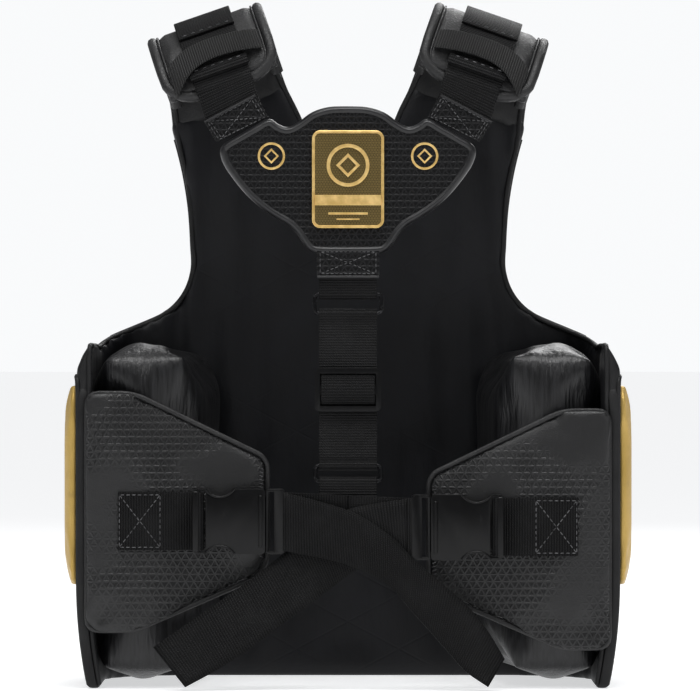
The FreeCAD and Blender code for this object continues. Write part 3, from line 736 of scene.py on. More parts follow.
def ribbon(name, middles, acrosses, width, thick, columns=6, crown=0.0):
    """Flat webbing along a run: `acrosses` point over its width. Its UV map is in metres."""
    rows = len(middles)
    strip = flat_grid(name, columns, rows - 1)
    lengths = [0.0]
    for a, b in zip(middles, middles[1:]):
        lengths.append(lengths[-1] + (Vector(b) - Vector(a)).length)
    spots = []
    for vertex in strip.data.vertices:
        over = vertex.co.x
        row = round((vertex.co.y + 0.5) * (rows - 1))
        spots.append((over * width, lengths[row]))
        across = Vector(acrosses[row]).normalized()
        ahead = Vector(middles[min(row + 1, rows - 1)]) - Vector(middles[max(row - 1, 0)])
        out = across.cross(ahead).normalized()
        bulge = crown * (1 - (2 * over) ** 2)
        vertex.co = Vector(middles[row]) + across * over * width + out * bulge
    laid_out(strip, spots)
    thickened(strip, thick)
    rounded(strip, thick * 0.3, angle=50)
    smooth_faces(strip)
    return strip


tape_x = (CAVITY_HALF + OUTER_HALF) / 2 + 0.0016
tape_run = smooth_run([
    *((drawn_in(tape_x, z), -0.1062, z) for z in (0.002, 0.015, 0.03, 0.05, 0.09, 0.17)),
    (tape_x, -0.1060, 0.235), (tape_x - 0.0006, -0.1052, 0.252), (tape_x - 0.0015, -0.1010, 0.262),
], 6)
tape_over = [Vector((1, 0, 0))] * len(tape_run)
wing_tape = ribbon("wing_tape_right", tape_run, tape_over, 0.0078, 0.0020, 6, 0.0010)
on_both_sides(wing_tape, tape)


# ---------------------------------------------------------------- kidney pads
# A thick block of foam inside each wing in a loose satin cover, gathered where it is sewn to the
# lining, with the cloth pulled into fine upright streaks.

def streaked_satin():
    finish = Finish("streaked_satin", "satin_cloth")
    place = finish.place()
    streaks = finish.speckle(finish.stretched(place, (1, 1, 0.05)), 420, 3)
    wide = finish.speckle(finish.stretched(place, (1, 0.6, 0.16)), 60, 3)
    threads = finish.speckle(place, 1300, 2)
    normal = finish.relief(streaks, 0.0007)
    normal = finish.relief(wide, 0.0032, normal)
    normal = finish.relief(threads, 0.00010, normal)
    # The streaks are painted lighter on their crests and darker in the hollows between them: painted sheen
    # and shade along the streaks.
    colour = finish.blend(streaks.ramp(0.35, 0.7), (0.003, 0.003, 0.0035), (0.012, 0.012, 0.0135))
    return finish.finished(colour, streaks * 0.22 + 0.24, normal, sheen=0.01, gloss=0.45)


satin = streaked_satin()

kidney = cad_copy("kidney_pad_body_right", "kidney_pad_right")
voxelled(kidney, 0.0055)
low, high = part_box("kidney_pad_right")
for vertex in kidney.data.vertices:
    for axis, slack in ((0, 0.007), (1, 0.009), (2, 0.007)):
        half = (high[axis] - low[axis]) / 2
        centre = (high[axis] + low[axis]) / 2
        vertex.co[axis] = centre + (vertex.co[axis] - centre) * (half - slack) / half
eased(kidney, 14)
stuffed(kidney, 0.0095)
eased(kidney, 10)
for vertex in kidney.data.vertices:
    x, y, z = vertex.co
    from_top = max(1 - (high.z - z) / 0.085, 0)
    inner = max(1 - (x - low.x) / 0.06, 0)
    gather = math.sin(x * 310 + noise.noise(Vector((x * 20, y * 20, z * 9))) * 5)
    lumps = noise.noise(Vector((x * 24, y * 20, z * 9)))
    pull = Vector((-0.5 if x < 0.17 else 0.1, -1, 0.6 * from_top))
    depth = 0.0012 * from_top * gather * (0.4 + inner) + 0.0014 * lumps
    vertex.co += pull * depth
refined(kidney)
smooth_faces(kidney)
dress(kidney, satin)
padded_pair(kidney, "kidney_pad_")


# ---------------------------------------------------------------- struck pads
# The belly and chest targets stand proud of the front: moulded foam under hide, each with a
# piped edge. The belly target and the pads outside each wing are gold, the chest one black.

def gold_leather():
    finish = Finish("gold_leather", "gold_leather")
    place = finish.place()
    grain = finish.cells(place, 700)
    fine = finish.speckle(place, 1500)
    patches = finish.speckle(place, 14, 3)
    rubbed = finish.speckle(place, 70, 3).ramp(0.55, 0.8)
    colour = finish.blend(patches.ramp(0.3, 0.75), (0.50, 0.325, 0.075), (0.68, 0.46, 0.135))
    colour = finish.blend(rubbed * 0.35, colour, (0.30, 0.20, 0.065))
    normal = finish.relief(grain * 0.7 + fine * 0.4, 0.00022)
    return finish.finished(colour, fine * 0.15 + rubbed * 0.1 + 0.32, normal, metal=0.35)


def lattice(finish, place, pitch):
    """A net of small upright triangles."""
    return finish.net(place, pitch, (90, 30, -30), 0.05, 0.20)


def embossed_leather(name, pitch, line, face, patchy=True, gloss=0.45):
    """Hide pressed with a net of triangles, whose lines and faces differ in tone and shine."""
    finish = Finish(name, "embossed_leather")
    place = finish.place()
    lines = lattice(finish, place, pitch)
    broad = finish.speckle(place, 24, 3)
    grain = finish.cells(place, 700)
    fine = finish.speckle(place, 1500)
    shown = finish.speckle(place, 11, 2).ramp(0.40, 0.58) if patchy else 1.0
    pressed_in = (1 - lines) * shown
    normal = finish.relief(grain * 0.6 + fine * 0.5, 0.00018)
    normal = finish.relief(broad, 0.0014, normal)
    normal = finish.relief(pressed_in, -0.0008, normal)
    colour = finish.blend(pressed_in, line, face)
    return finish.finished(
        colour, pressed_in * 0.24 + broad * 0.14 + fine * 0.08 + 0.27, normal, gloss=gloss
    )


gold = gold_leather()
pressed = embossed_leather("chest_leather", 0.0060, (0.016, 0.016, 0.017), (0.004, 0.004, 0.0045))


def target(name, node, finish, slack, most):
    """A struck pad: foam blown up under its cover, with its back left flat on the vest."""
    pad = cad_copy(name, node)
    low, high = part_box(node)
    thin = min(range(3), key=lambda axis: high[axis] - low[axis])
    outward = 1 if (high[thin] + low[thin]) > 0 else -1
    base = low[thin] if outward > 0 else high[thin]
    voxelled(pad, 0.0042)
    for vertex in pad.data.vertices:
        vertex.co[thin] = base + (vertex.co[thin] - base) * slack
    stuffed(pad, most, held=lambda spot: abs(spot[thin] - base) < 0.0015)
    eased(pad, 2)
    refined(pad)
    smooth_faces(pad)
    dress(pad, finish)
    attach(pad, "vest")
    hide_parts(node)
    return pad


target("belly_target", "belly_target_pad", gold, 0.72, 0.005)
target("chest_target", "chest_target_pad", pressed, 0.72, 0.005)
side_right = target("side_target_right", "side_pad_right", gold, 0.72, 0.005)
side_left = mirrored(side_right, "side_target_left")
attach(side_left, "vest")
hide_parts("side_pad_left")


def target_edge(node, corner):
    """The outline of a struck pad on the front of the vest, just off its base."""
    low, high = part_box(node)
    y = low.y + 0.0015
    spots = [
        (low.x, low.z + corner), (low.x + corner, low.z), (high.x - corner, low.z),
        (high.x, low.z + corner), (high.x, high.z - corner), (high.x - corner, high.z),
        (low.x + corner, high.z), (low.x, high.z - corner),
    ]
    return [Vector((x, y, z)) for x, z in spots]


for name, node in (("belly_target_piping", "belly_target_pad"), ("chest_target_piping", "chest_target_pad")):
    trim = cord_mesh(name, [target_edge(node, 0.026)], 0.0024, closed=True)
    dress(trim, leather)
    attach(trim, "vest")


# ---------------------------------------------------------------- shoulder pads
# Each shoulder is a pad of foam in matte hide, bent over the shoulder, with a fat rolled edge
# down both sides and round its rear end.

PAD_THICK = 0.018
HALF_PAD = 0.0525
PAD_END = math.radians(172)


def matte_hide():
    finish = Finish("matte_hide", "cover_leather")
    place = finish.place()
    grain = finish.cells(place, 520)
    fine = finish.speckle(place, 1100, 2)
    patches = finish.speckle(place, 24, 3)
    shine = finish.cells(place, 380).ramp(0.25, 0.6)
    normal = finish.relief(grain * 0.8 + fine * 0.5, 0.00032)
    colour = finish.blend(patches.ramp(0.3, 0.8), (0.011, 0.011, 0.0115), (0.021, 0.021, 0.0215))
    return finish.finished(colour, shine * 0.14 + patches * 0.14 + 0.34, normal, gloss=0.4)


def block(name, middle, size):
    """A plain block at its place and size, to be shaped."""
    nothing_selected()
    bpy.ops.mesh.primitive_cube_add(size=1, location=middle)
    piece = bpy.context.object
    piece.name = name
    bpy.ops.transform.resize(value=size)
    bpy.ops.object.transform_apply(location=True, rotation=True, scale=True)
    return piece


hide = matte_hide()

arch_length = ARCH_DEPTH * PAD_END
pad = block(
    "shoulder_cushion_right", (0, arch_length / 2, -PAD_THICK / 2),
    (2 * HALF_PAD - 0.006, arch_length - 0.004, PAD_THICK * 0.62),
)
bpy.ops.object.mode_set(mode="EDIT")
bpy.ops.mesh.select_all(action="DESELECT")
shape = bmesh.from_edit_mesh(pad.data)
for edge in shape.edges:
    a, b = (vertex.co for vertex in edge.verts)
    edge.select = abs(a.z - b.z) > 0.005 and a.y < 0.01
bmesh.update_edit_mesh(pad.data)
bpy.ops.mesh.bevel(offset=0.029, segments=10, affect="EDGES")
bpy.ops.object.mode_set(mode="OBJECT")
voxelled(pad, 0.0045)
stuffed(pad, 0.0042)
eased(pad, 2)
refined(pad)
for vertex in pad.data.vertices:
    x, y, z = vertex.co
    lumps = 0.0009 * noise.noise(Vector((x * 30, y * 22, 1.0)))
    vertex.co = on_arch(y / ARCH_DEPTH, x, min(z, -0.0004) + lumps)
smooth_faces(pad)
dress(pad, hide)
padded_pair(pad, "shoulder_pad_")

# The rolled edge: a flattened roll of hide with a groove on its inner side.
roll_inset = HALF_PAD - 0.0042
end_round = 0.030
roll_flat = [(roll_inset, PAD_END * ARCH_DEPTH - k * 0.012) for k in range(20)]
roll_flat += [
    (roll_inset - end_round + end_round * math.cos(a), end_round + 0.004 - end_round * math.sin(a))
    for a in (math.radians(10 * k) for k in range(1, 10))
]
roll_flat += [(0.012, 0.004), (0.004, 0.004)]
roll_flat += [(-x, y) for x, y in reversed(roll_flat)]


def roll(name, lift, radius, shift=0.0):
    run = [on_arch(y / ARCH_DEPTH, x * (1 - shift / HALF_PAD), lift) for x, y in roll_flat]
    return cord_mesh(name, [run], radius, sides=3)


edge_roll = roll("shoulder_edge_roll_right", -0.0038, 0.0046)
low_roll = roll("shoulder_under_roll_right", -0.0108, 0.0046, 0.0014)
seam_roll = roll("shoulder_seam_right", -0.0012, 0.0010, 0.0056)
for piece in (edge_roll, low_roll, seam_roll):
    on_both_sides(piece, hide)


# ---------------------------------------------------------------- shoulder webbing and keeper
# Wide nylon webbing lies over each pad, folded double at the crest, with its hemmed end under a
# ribbed elastic keeper that is sewn to the pad's sides and arches over the webbing.

def nylon_webbing():
    """Ribs across the strap, broken into columns by the weave, from the strap's own map."""
    finish = Finish("nylon_webbing", "webbing")
    over, along, _ = finish.split(finish.place("cut"))
    columns = (over * (1 / 0.0021)).math("PINGPONG", 0.5)
    shifted = along + columns * 0.0011
    ribs = (shifted * (1 / 0.0023)).math("PINGPONG", 0.5) * 2
    twill = ribs * 0.75 + columns * 0.5
    place = finish.place()
    fuzz = finish.speckle(place, 1300, 2)
    worn = finish.speckle(place, 38, 3)
    normal = finish.relief(twill + fuzz * 0.35, 0.00062)
    # The ribs are painted dark in their grooves and lighter on their crests: painted shade on the ribs.
    colour = finish.blend(ribs.ramp(0.1, 0.8), (0.0016, 0.0016, 0.0018), (0.0100, 0.0100, 0.0103))
    colour = finish.blend(worn.ramp(0.4, 0.8) * 0.35, colour, (0.017, 0.017, 0.0175))
    return finish.finished(colour, 0.56 - ribs * 0.1, normal, sheen=0.005, gloss=0.10)


def ribbed_elastic():
    finish = Finish("ribbed_elastic", "elastic")
    over, along, _ = finish.split(finish.place("cut"))
    ribs = (over * (1 / 0.0026)).math("PINGPONG", 0.5) * 2
    cross = (along * (1 / 0.0016)).math("PINGPONG", 0.5) * 2
    fuzz = finish.speckle(finish.place(), 1200, 2)
    normal = finish.relief(ribs * 0.9 + cross * 0.25 + fuzz * 0.3, 0.0007)
    # The ribs are painted dark in their grooves and lighter on their crests: painted shade on the ribs.
    colour = finish.blend(ribs.ramp(0.2, 0.9), (0.0035, 0.0035, 0.0035), (0.0190, 0.0190, 0.0190))
    return finish.finished(colour, 0.6, normal, sheen=0.04, gloss=0.25)


webbing = nylon_webbing()
elastic = ribbed_elastic()
WEB_HALF = 0.025
WEB_THICK = 0.0024


def arch_ribbon(name, start, end, lift, width, thick, rows=30, ease=0.0):
    turns = [math.radians(start + (end - start) * k / (rows - 1)) for k in range(rows)]
    lifts = [lift + ease * math.sin(math.pi * k / (rows - 1)) for k in range(rows)]
    middles = [on_arch(turn, 0, rise) for turn, rise in zip(turns, lifts)]
    over = on_arch(1, 1, 0) - on_arch(1, 0, 0)
    return ribbon(name, middles, [over] * rows, width, thick)


strap = arch_ribbon("shoulder_strap_right", 3, 150, 0.0018, 2 * WEB_HALF, WEB_THICK, 60)
fold = arch_ribbon("crest_fold_right", 49, 86, 0.0044, 2 * WEB_HALF + 0.001, WEB_THICK, 24, 0.0014)
hem = arch_ribbon("strap_hem_right", 13, 20, 0.0046, 2 * WEB_HALF + 0.003, 0.0036, 12, 0.0008)
on_both_sides(strap, webbing, node="shoulder_web_")
on_both_sides(fold, webbing)
on_both_sides(hem, webbing)

keeper = flat_grid("elastic_keeper_right", 44, 12)
flat_spots = []
for vertex in keeper.data.vertices:
    over, up = vertex.co.x * 2, vertex.co.y + 0.5
    drop = abs(over) ** 2.2
    low_turn = 22 - (9.5 + 6.5 * over) * drop - 1.5 * over
    high_turn = 38 - (5 + 4 * over) * drop
    turn = math.radians(low_turn + (high_turn - low_turn) * up)
    bridge = 0.0075 * (1 - abs(over) ** 4) + 0.0012
    slack = 0.0016 * (1 - up) * (1 - over * over)
    flat_spots.append((over * HALF_PAD, up * 0.030))
    vertex.co = on_arch(turn, over * (HALF_PAD - 0.0102), bridge + slack)
laid_out(keeper, flat_spots)
thickened(keeper, 0.0016)
apply_all(keeper)
refined(keeper)
smooth_faces(keeper)
on_both_sides(keeper, elastic, node="strap_keeper_")


# ---------------------------------------------------------------- stitching
# Bonded thread, sewn as a row of short raised stitches that sink into the cloth at each end.

def sewing_thread():
    finish = Finish("sewing_thread", "edge_tape")
    place = finish.place()
    twist = finish.speckle(place, 2200, 1)
    shade = finish.speckle(place, 90, 2)
    colour = finish.blend(shade.ramp(0.3, 0.7), (0.050, 0.050, 0.052), (0.130, 0.130, 0.134))
    return finish.finished(colour, 0.42, finish.relief(twist, 0.0002))


thread = sewing_thread()


def one_stitch():
    """A short six-sided strand, pinched at both ends, lying along X."""
    nothing_selected()
    bpy.ops.mesh.primitive_cylinder_add(
        vertices=6, radius=1, depth=2, end_fill_type="TRIFAN", rotation=(0, math.radians(90), 0)
    )
    stitch = bpy.context.object
    bpy.ops.object.transform_apply(location=True, rotation=True, scale=True)
    bpy.ops.object.mode_set(mode="EDIT")
    bpy.ops.mesh.select_all(action="SELECT")
    bpy.ops.mesh.bisect(plane_co=(0.55, 0, 0), plane_no=(1, 0, 0))
    bpy.ops.mesh.select_all(action="SELECT")
    bpy.ops.mesh.bisect(plane_co=(-0.55, 0, 0), plane_no=(1, 0, 0))
    bpy.ops.object.mode_set(mode="OBJECT")
    for vertex in stitch.data.vertices:
        if abs(vertex.co.x) > 0.9:
            vertex.co.y *= 0.45
            vertex.co.z = vertex.co.z * 0.45 - 0.7
    mesh = stitch.data
    bpy.data.objects.remove(stitch)
    return mesh


STITCH = one_stitch()


def stitching(name, rows, body, length=0.0034, gap=0.0013, thick=0.00042, up=(0, -1, 0)):
    """Stitches laid end to end along straight rows, raised towards `up`."""
    work = bmesh.new()
    for row in rows:
        points = [Vector(point) for point in row]
        for start, end in zip(points, points[1:]):
            run = end - start
            count = max(int(run.length / (length + gap)), 1)
            step = run / count
            along = run.normalized()
            side = Vector(up).cross(along).normalized()
            rise = along.cross(side).normalized()
            turn = Matrix((along * length / 2, side * thick, rise * thick)).transposed()
            for k in range(count):
                spot = start + step * (k + 0.5)
                known = len(work.verts)
                work.from_mesh(STITCH)
                work.verts.ensure_lookup_table()
                for vertex in work.verts[known:]:
                    vertex.co = spot + turn @ vertex.co
    thing = from_bmesh(name, work)
    dress(thing, thread)
    smooth_faces(thing)
    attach(thing, body)
    return thing


# The crest fold and the strap's hem are sewn down across their ends.
def shoulder_row(turn, lift, reach=0.023, steps=6):
    return [on_arch(math.radians(turn), -reach + 2 * reach * k / steps, lift) for k in range(steps + 1)]


for label, turn, lift in (("crest_seam", 51, 0.0062), ("hem_seam", 18.6, 0.0072)):
    seam = stitching(label + "_right", [shoulder_row(turn, lift)], "vest",
                     up=on_arch(math.radians(turn), 0, 1) - on_arch(math.radians(turn), 0, 0))
    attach(mirrored(seam, label + "_left"), "vest")


# ---------------------------------------------------------------- yoke
# The back plate: a moulded face with a raised rounded border round a field of pressed triangles,
# on foam and a stiff backing, whose two sewn tabs carry it on the shoulder webbing.

YOKE_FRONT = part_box("yoke_padding")[1].y
YOKE_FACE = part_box("yoke_cover")[0].y
YOKE_HALF = [
    (0.0, 0.5005), (0.016, 0.4998), (0.030, 0.4955), (0.042, 0.487), (0.052, 0.4825),
    (0.0605, 0.4850), (0.0685, 0.4895), (0.080, 0.4835), (0.094, 0.4755), (0.1055, 0.4685),
    (0.1085, 0.4625), (0.1055, 0.4525), (0.098, 0.441), (0.087, 0.4275), (0.075, 0.4165),
    (0.062, 0.4075), (0.0515, 0.4015), (0.0435, 0.394), (0.0365, 0.3835), (0.0315, 0.3785),
    (0.024, 0.3768), (0.0, 0.3765),
]


def yoke_loop_points(grow, y, steps=4):
    """The yoke's smooth outline moved outwards by `grow`, the same on both sides."""
    run = smooth_run([(x, 0, z) for x, z in YOKE_HALF], steps)
    run += [Vector((-p.x, 0, p.z)) for p in reversed(run) if p.x > 0.0005]
    moved = []
    for k, here in enumerate(run):
        ahead = run[(k + 1) % len(run)] - run[k - 1]
        out = Vector((-ahead.z, 0, ahead.x)).normalized()
        moved.append(Vector((here.x + out.x * grow, y, here.z + out.z * grow)))
    return moved


def moulded_plate(name, steps):
    """Rings of faces from the back of the yoke to its face, each step a (grow, Y) pair."""
    mesh = bmesh.new()
    rings = [[mesh.verts.new(p) for p in yoke_loop_points(grow, y)] for grow, y in steps]
    for low_ring, high_ring in zip(rings, rings[1:]):
        for k in range(len(low_ring)):
            mesh.faces.new((low_ring[k - 1], low_ring[k], high_ring[k], high_ring[k - 1]))
    ends = [mesh.faces.new(rings[0]), mesh.faces.new(rings[-1])]
    bmesh.ops.recalc_face_normals(mesh, faces=mesh.faces)
    bmesh.ops.triangulate(mesh, faces=ends, ngon_method="EAR_CLIP")
    return from_bmesh(name, mesh)


yoke_finish = embossed_leather(
    "yoke_leather", 0.0056, (0.0110, 0.0110, 0.0118), (0.0016, 0.0016, 0.0020), False, 0.18
)
border_finish = Finish("polished_border", "cover_leather")
border_grain = border_finish.speckle(border_finish.place(), 900, 3)
border_wear = border_finish.speckle(border_finish.place(), 45, 3)
border_finish.finished(
    border_finish.blend(border_wear.ramp(0.35, 0.75), (0.0085, 0.0085, 0.0095), (0.018, 0.018, 0.019)),
    border_wear * 0.12 + 0.28,
    border_finish.relief(border_grain, 0.00012), gloss=0.42,
)

crest_y = YOKE_FACE - 0.0006
field_y = YOKE_FACE + 0.0008
yoke = moulded_plate("yoke_face", [
    (0.0002, YOKE_FRONT), (0.0014, YOKE_FRONT - 0.0014), (0.0018, YOKE_FRONT - 0.0040),
    (0.0014, YOKE_FACE + 0.0028), (0.0004, YOKE_FACE + 0.0010), (-0.0008, crest_y + 0.0002),
    (-0.0018, crest_y), (-0.0028, crest_y + 0.0003), (-0.0036, field_y - 0.0001), (-0.0042, field_y),
])
only(yoke)
bpy.ops.object.shade_smooth_by_angle(angle=math.radians(60))
dress(yoke, yoke_finish, border_finish)
for face in yoke.data.polygons:
    in_field = face.normal.y < -0.999 and abs(face.center.y - field_y) < 0.00002
    face.material_index = 0 if in_field else 1
    face.use_smooth = not in_field
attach(yoke, "yoke")
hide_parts("yoke_cover", "yoke_padding")


board = moulded_plate("yoke_board", [
    (-0.0010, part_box("yoke_backing")[1].y), (0.0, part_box("yoke_backing")[1].y - 0.0006),
    (0.0, YOKE_FRONT + 0.0003), (-0.0006, YOKE_FRONT + 0.0001),
])
dress(board, tape)
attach(board, "yoke")
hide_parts("yoke_backing")


def bevelled(thing, width, segments=2):
    """Turns a faceted CAD copy into clean faces and rounds its edges."""
    only(thing)
    bpy.ops.object.mode_set(mode="EDIT")
    bpy.ops.mesh.select_all(action="SELECT")
    bpy.ops.mesh.dissolve_limited(angle_limit=math.radians(1))
    bpy.ops.object.mode_set(mode="OBJECT")
    rounded(thing, width, segments, 25)
    only(thing)
    bpy.ops.object.shade_smooth_by_angle(angle=math.radians(40))
    return thing


# ---------------------------------------------------------------- yoke tabs and their webbing
# Each tab is a hide patch with a piped top edge, sewn through the webbing with a crossed square.

FINE_STITCH = (0.0028, 0.0011, 0.00036)
TAB = [(0.0685, 0.493), (0.0800, 0.512), (0.1240, 0.4886), (0.1125, 0.4715)]


def tab_spot(along, down, y):
    """A place on the right tab: 0..1 along its top edge, 0..1 from the top edge down."""
    inner_low, inner_top, outer_top, outer_low = (Vector((x, y, z)) for x, z in TAB)
    return inner_top.lerp(outer_top, along).lerp(inner_low.lerp(outer_low, along), down)


tab = bevelled(cad_copy("tab_patch_right", "yoke_tab_right"), 0.0006)
tab_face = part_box("yoke_tab_right")[0].y - 0.0002
top_bead = cord_mesh("tab_bead_right", [[tab_spot(a / 12, 0.02, tab_face) for a in range(13)]], 0.0011)
tab_rows = [
    [tab_spot(a, b, tab_face), tab_spot(c, d, tab_face)] for a, b, c, d in (
        (0.04, 0.08, 0.96, 0.08), (0.04, 0.95, 0.96, 0.95),
        *((a, 0.10, a, 0.93) for a in (0.045, 0.095, 0.955, 0.905)),
        (0.10, 0.10, 0.90, 0.93), (0.90, 0.10, 0.10, 0.93),
    )
]
tab_stitches = stitching("tab_stitches_right", tab_rows, "yoke", *FINE_STITCH)
on_both_sides(tab, yoke_finish, "yoke", "yoke_tab_")
on_both_sides(top_bead, border_finish, "yoke")
on_both_sides(tab_stitches, thread, "yoke")

web_run = [
    on_arch(math.radians(9), 0, 0.0018), on_arch(math.radians(4), 0, 0.0016),
    Vector((0.1045, -0.1046, 0.5150)), Vector((0.1025, -0.1049, 0.5070)),
    Vector((0.0992, -0.1050, 0.4980)), Vector((0.0955, -0.1050, 0.4895)),
    Vector((0.0918, -0.1050, 0.4835)),
]
web_run = smooth_run(web_run, 4)
arch_over = (on_arch(1, 1, 0) - on_arch(1, 0, 0)).normalized()
tab_over = (tab_spot(1, 0, 0) - tab_spot(0, 0, 0)).normalized()
web_over = [arch_over.lerp(tab_over, min(k / 14, 1)) for k in range(len(web_run))]
link = ribbon("yoke_strap_right", web_run, web_over, 2 * WEB_HALF, WEB_THICK)
dress(link, webbing)
twin = mirrored(link, "yoke_strap_left")
for thing, side in ((link, "right"), (twin, "left")):
    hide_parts("yoke_web_" + side)
    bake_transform(thing)


# ---------------------------------------------------------------- badge and emblems
# The badge is a moulded plate: a gold rounded rim round a grained olive ground with a plain gold
# ring, lozenge and bars. The two emblems are the same ring and lozenge, printed small.

def gold_print():
    finish = Finish("gold_print", "emblem_gold")
    place = finish.place()
    brushed = finish.speckle(place, 700, 2)
    wear = finish.speckle(place, 120, 3)
    colour = finish.blend(wear.ramp(0.3, 0.8), (0.66, 0.43, 0.14), (0.95, 0.68, 0.28))
    return finish.finished(colour, brushed * 0.15 + 0.30, finish.relief(brushed, 0.0001), metal=0.55)


def olive_ground():
    finish = Finish("olive_ground", "badge_metallic")
    place = finish.place()
    lines = lattice(finish, place, 0.0021)
    fine = finish.speckle(place, 1600, 2)
    colour = finish.blend(lines, (0.050, 0.034, 0.007), (0.150, 0.104, 0.030))
    return finish.finished(colour, fine * 0.15 + 0.36, finish.relief(lines, 0.0002), metal=0.3)


rim_gold = gold_print()
ground = olive_ground()
badge_low, badge_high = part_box("badge")
badge_middle = (badge_low + badge_high) / 2
half_w = (badge_high.x - badge_low.x) / 2
half_h = (badge_high.z - badge_low.z) / 2
badge = block("badge_plate", badge_middle, (2 * half_w, badge_high.y - badge_low.y, 2 * half_h))
bpy.ops.object.mode_set(mode="EDIT")
bpy.ops.mesh.select_all(action="DESELECT")
shape = bmesh.from_edit_mesh(badge.data)
for edge in shape.edges:
    a, b = (vertex.co for vertex in edge.verts)
    edge.select = abs(a.y - b.y) > 0.001
bmesh.update_edit_mesh(badge.data)
bpy.ops.mesh.bevel(offset=0.007, segments=8, affect="EDGES")
bpy.ops.mesh.select_all(action="DESELECT")
bpy.ops.mesh.select_mode(type="FACE")
shape = bmesh.from_edit_mesh(badge.data)
for face in shape.faces:
    face.select = face.normal.y < -0.9
bmesh.update_edit_mesh(badge.data)
for inset, push in ((0.0005, -0.0004), (0.0011, 0.0), (0.0005, 0.0007), (0.0004, 0.0)):
    bpy.ops.mesh.inset(thickness=inset, depth=0)
    bpy.ops.transform.translate(value=(0, push, 0))
bpy.ops.object.mode_set(mode="OBJECT")
only(badge)
bpy.ops.object.shade_smooth_by_angle(angle=math.radians(35))
dress(badge, ground, rim_gold)
widest = max(badge.data.polygons, key=lambda face: face.area if face.normal.y < -0.9 else 0)
for face in badge.data.polygons:
    face.material_index = 0 if face.index == widest.index else 1
ground_y = widest.center.y
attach(badge, "yoke")
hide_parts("badge")


def faced_outwards(thing):
    only(thing)
    bpy.ops.object.mode_set(mode="EDIT")
    bpy.ops.mesh.select_all(action="SELECT")
    bpy.ops.mesh.normals_make_consistent(inside=False)
    bpy.ops.object.mode_set(mode="OBJECT")


def ring_and_lozenge(name, x, z, radius, y, thick):
    """A flat gold ring round a lozenge, raised off the face it is printed on."""
    outlines = []
    for corners, reach, border in ((48, radius, 0.17), (4, radius * 0.56, 0.13)):
        nothing_selected()
        bpy.ops.mesh.primitive_circle_add(
            vertices=corners, radius=reach, fill_type="NGON", location=(x, y, z),
            rotation=(math.radians(90), 0, 0),
        )
        outlines.append(bpy.context.object)
        bpy.ops.object.transform_apply(location=True, rotation=True, scale=True)
        bpy.ops.object.mode_set(mode="EDIT")
        bpy.ops.mesh.select_mode(type="FACE")
        bpy.ops.mesh.select_all(action="SELECT")
        bpy.ops.mesh.inset(thickness=radius * border, depth=0)
        bpy.ops.mesh.delete(type="FACE")
        bpy.ops.object.mode_set(mode="OBJECT")
    ring = outlines[0]
    ring.name = name
    only(*outlines)
    bpy.ops.object.join()
    thickened(ring, thick, 1)
    rounded(ring, thick * 0.25)
    faced_outwards(ring)
    bpy.ops.object.shade_smooth_by_angle(angle=math.radians(35))
    dress(ring, rim_gold)
    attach(ring, "yoke")
    return ring


def gold_bar(name, low_z, high_z, half_width, y):
    middle = (0, y - 0.0003, (low_z + high_z) / 2)
    bar = block(name, middle, (2 * half_width, 0.0008, high_z - low_z))
    rounded(bar, 0.0003)
    dress(bar, rim_gold)
    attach(bar, "yoke")


ring_and_lozenge("badge_ring", 0, badge_low.z + 0.054, 0.0185, ground_y - 0.0001, 0.0009)
gold_bar("badge_band", badge_low.z + 0.0195, badge_low.z + 0.0285, half_w - 0.0022, ground_y)
gold_bar("badge_lower_bar", badge_low.z + 0.0115, badge_low.z + 0.0135, 0.017, ground_y)
gold_bar("badge_small_bar", badge_low.z + 0.0070, badge_low.z + 0.0082, 0.010, ground_y)
SIDES = (("left", -1), ("right", 1))
for side, _ in SIDES:
    low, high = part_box("emblem_" + side)
    centre = (low + high) / 2
    mark = ring_and_lozenge(
        "printed_mark_" + side, centre.x, centre.z, 0.0118, field_y + 0.0002, 0.0006
    )
    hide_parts("emblem_" + side)


# ---------------------------------------------------------------- rings and the strap down the back
# Two flat wire rings carry a doubled strap, which a three-bar slider shortens; the strap's turned
# loop bulges over the slider's middle bar. A stitched hide tab covers the loop at the yoke.

HANG_Y = -0.1074
UPPER_BAR = 0.340
UPPER_RISE = 0.0164
LOWER_BAR = 0.1479
LOWER_RISE = 0.013
WIRE = 0.0018
LEAN = math.asin(0.0141 / 0.1879)


def down_strap(down, out=0.0, over=0.0):
    """A place on the hanging strap: distance down from the upper bar, out of its plane, across."""
    return Vector((
        over, HANG_Y - down * math.sin(LEAN) - out * math.cos(LEAN),
        UPPER_BAR - down * math.cos(LEAN) + out * math.sin(LEAN),
    ))


def moulded_plastic():
    finish = Finish("moulded_plastic", "buckle_plastic")
    place = finish.place()
    spark = finish.speckle(place, 2400, 2)
    flow = finish.speckle(place, 55, 3)
    scuffs = finish.speckle(finish.stretched(place, (1, 1, 0.3)), 240, 3).ramp(0.62, 0.8)
    colour = finish.blend(flow.ramp(0.3, 0.8), (0.0020, 0.0020, 0.0022), (0.0042, 0.0042, 0.0046))
    colour = finish.blend(scuffs * 0.3, colour, (0.03, 0.03, 0.031))
    rough = flow * 0.1 + scuffs * 0.15 + 0.26
    return finish.finished(colour, rough, finish.relief(spark, 0.00005), gloss=0.25)


def lacquered_wire():
    finish = Finish("lacquered_wire", "buckle_plastic")
    place = finish.place()
    dust = finish.speckle(place, 900, 2)
    chips = finish.speckle(place, 160, 3).ramp(0.6, 0.75)
    colour = finish.blend(chips, (0.010, 0.010, 0.011), (0.045, 0.045, 0.048))
    return finish.finished(colour, dust * 0.12 + 0.2, finish.relief(dust, 0.00005), metal=0.6)


plastic = moulded_plastic()
wire = lacquered_wire()


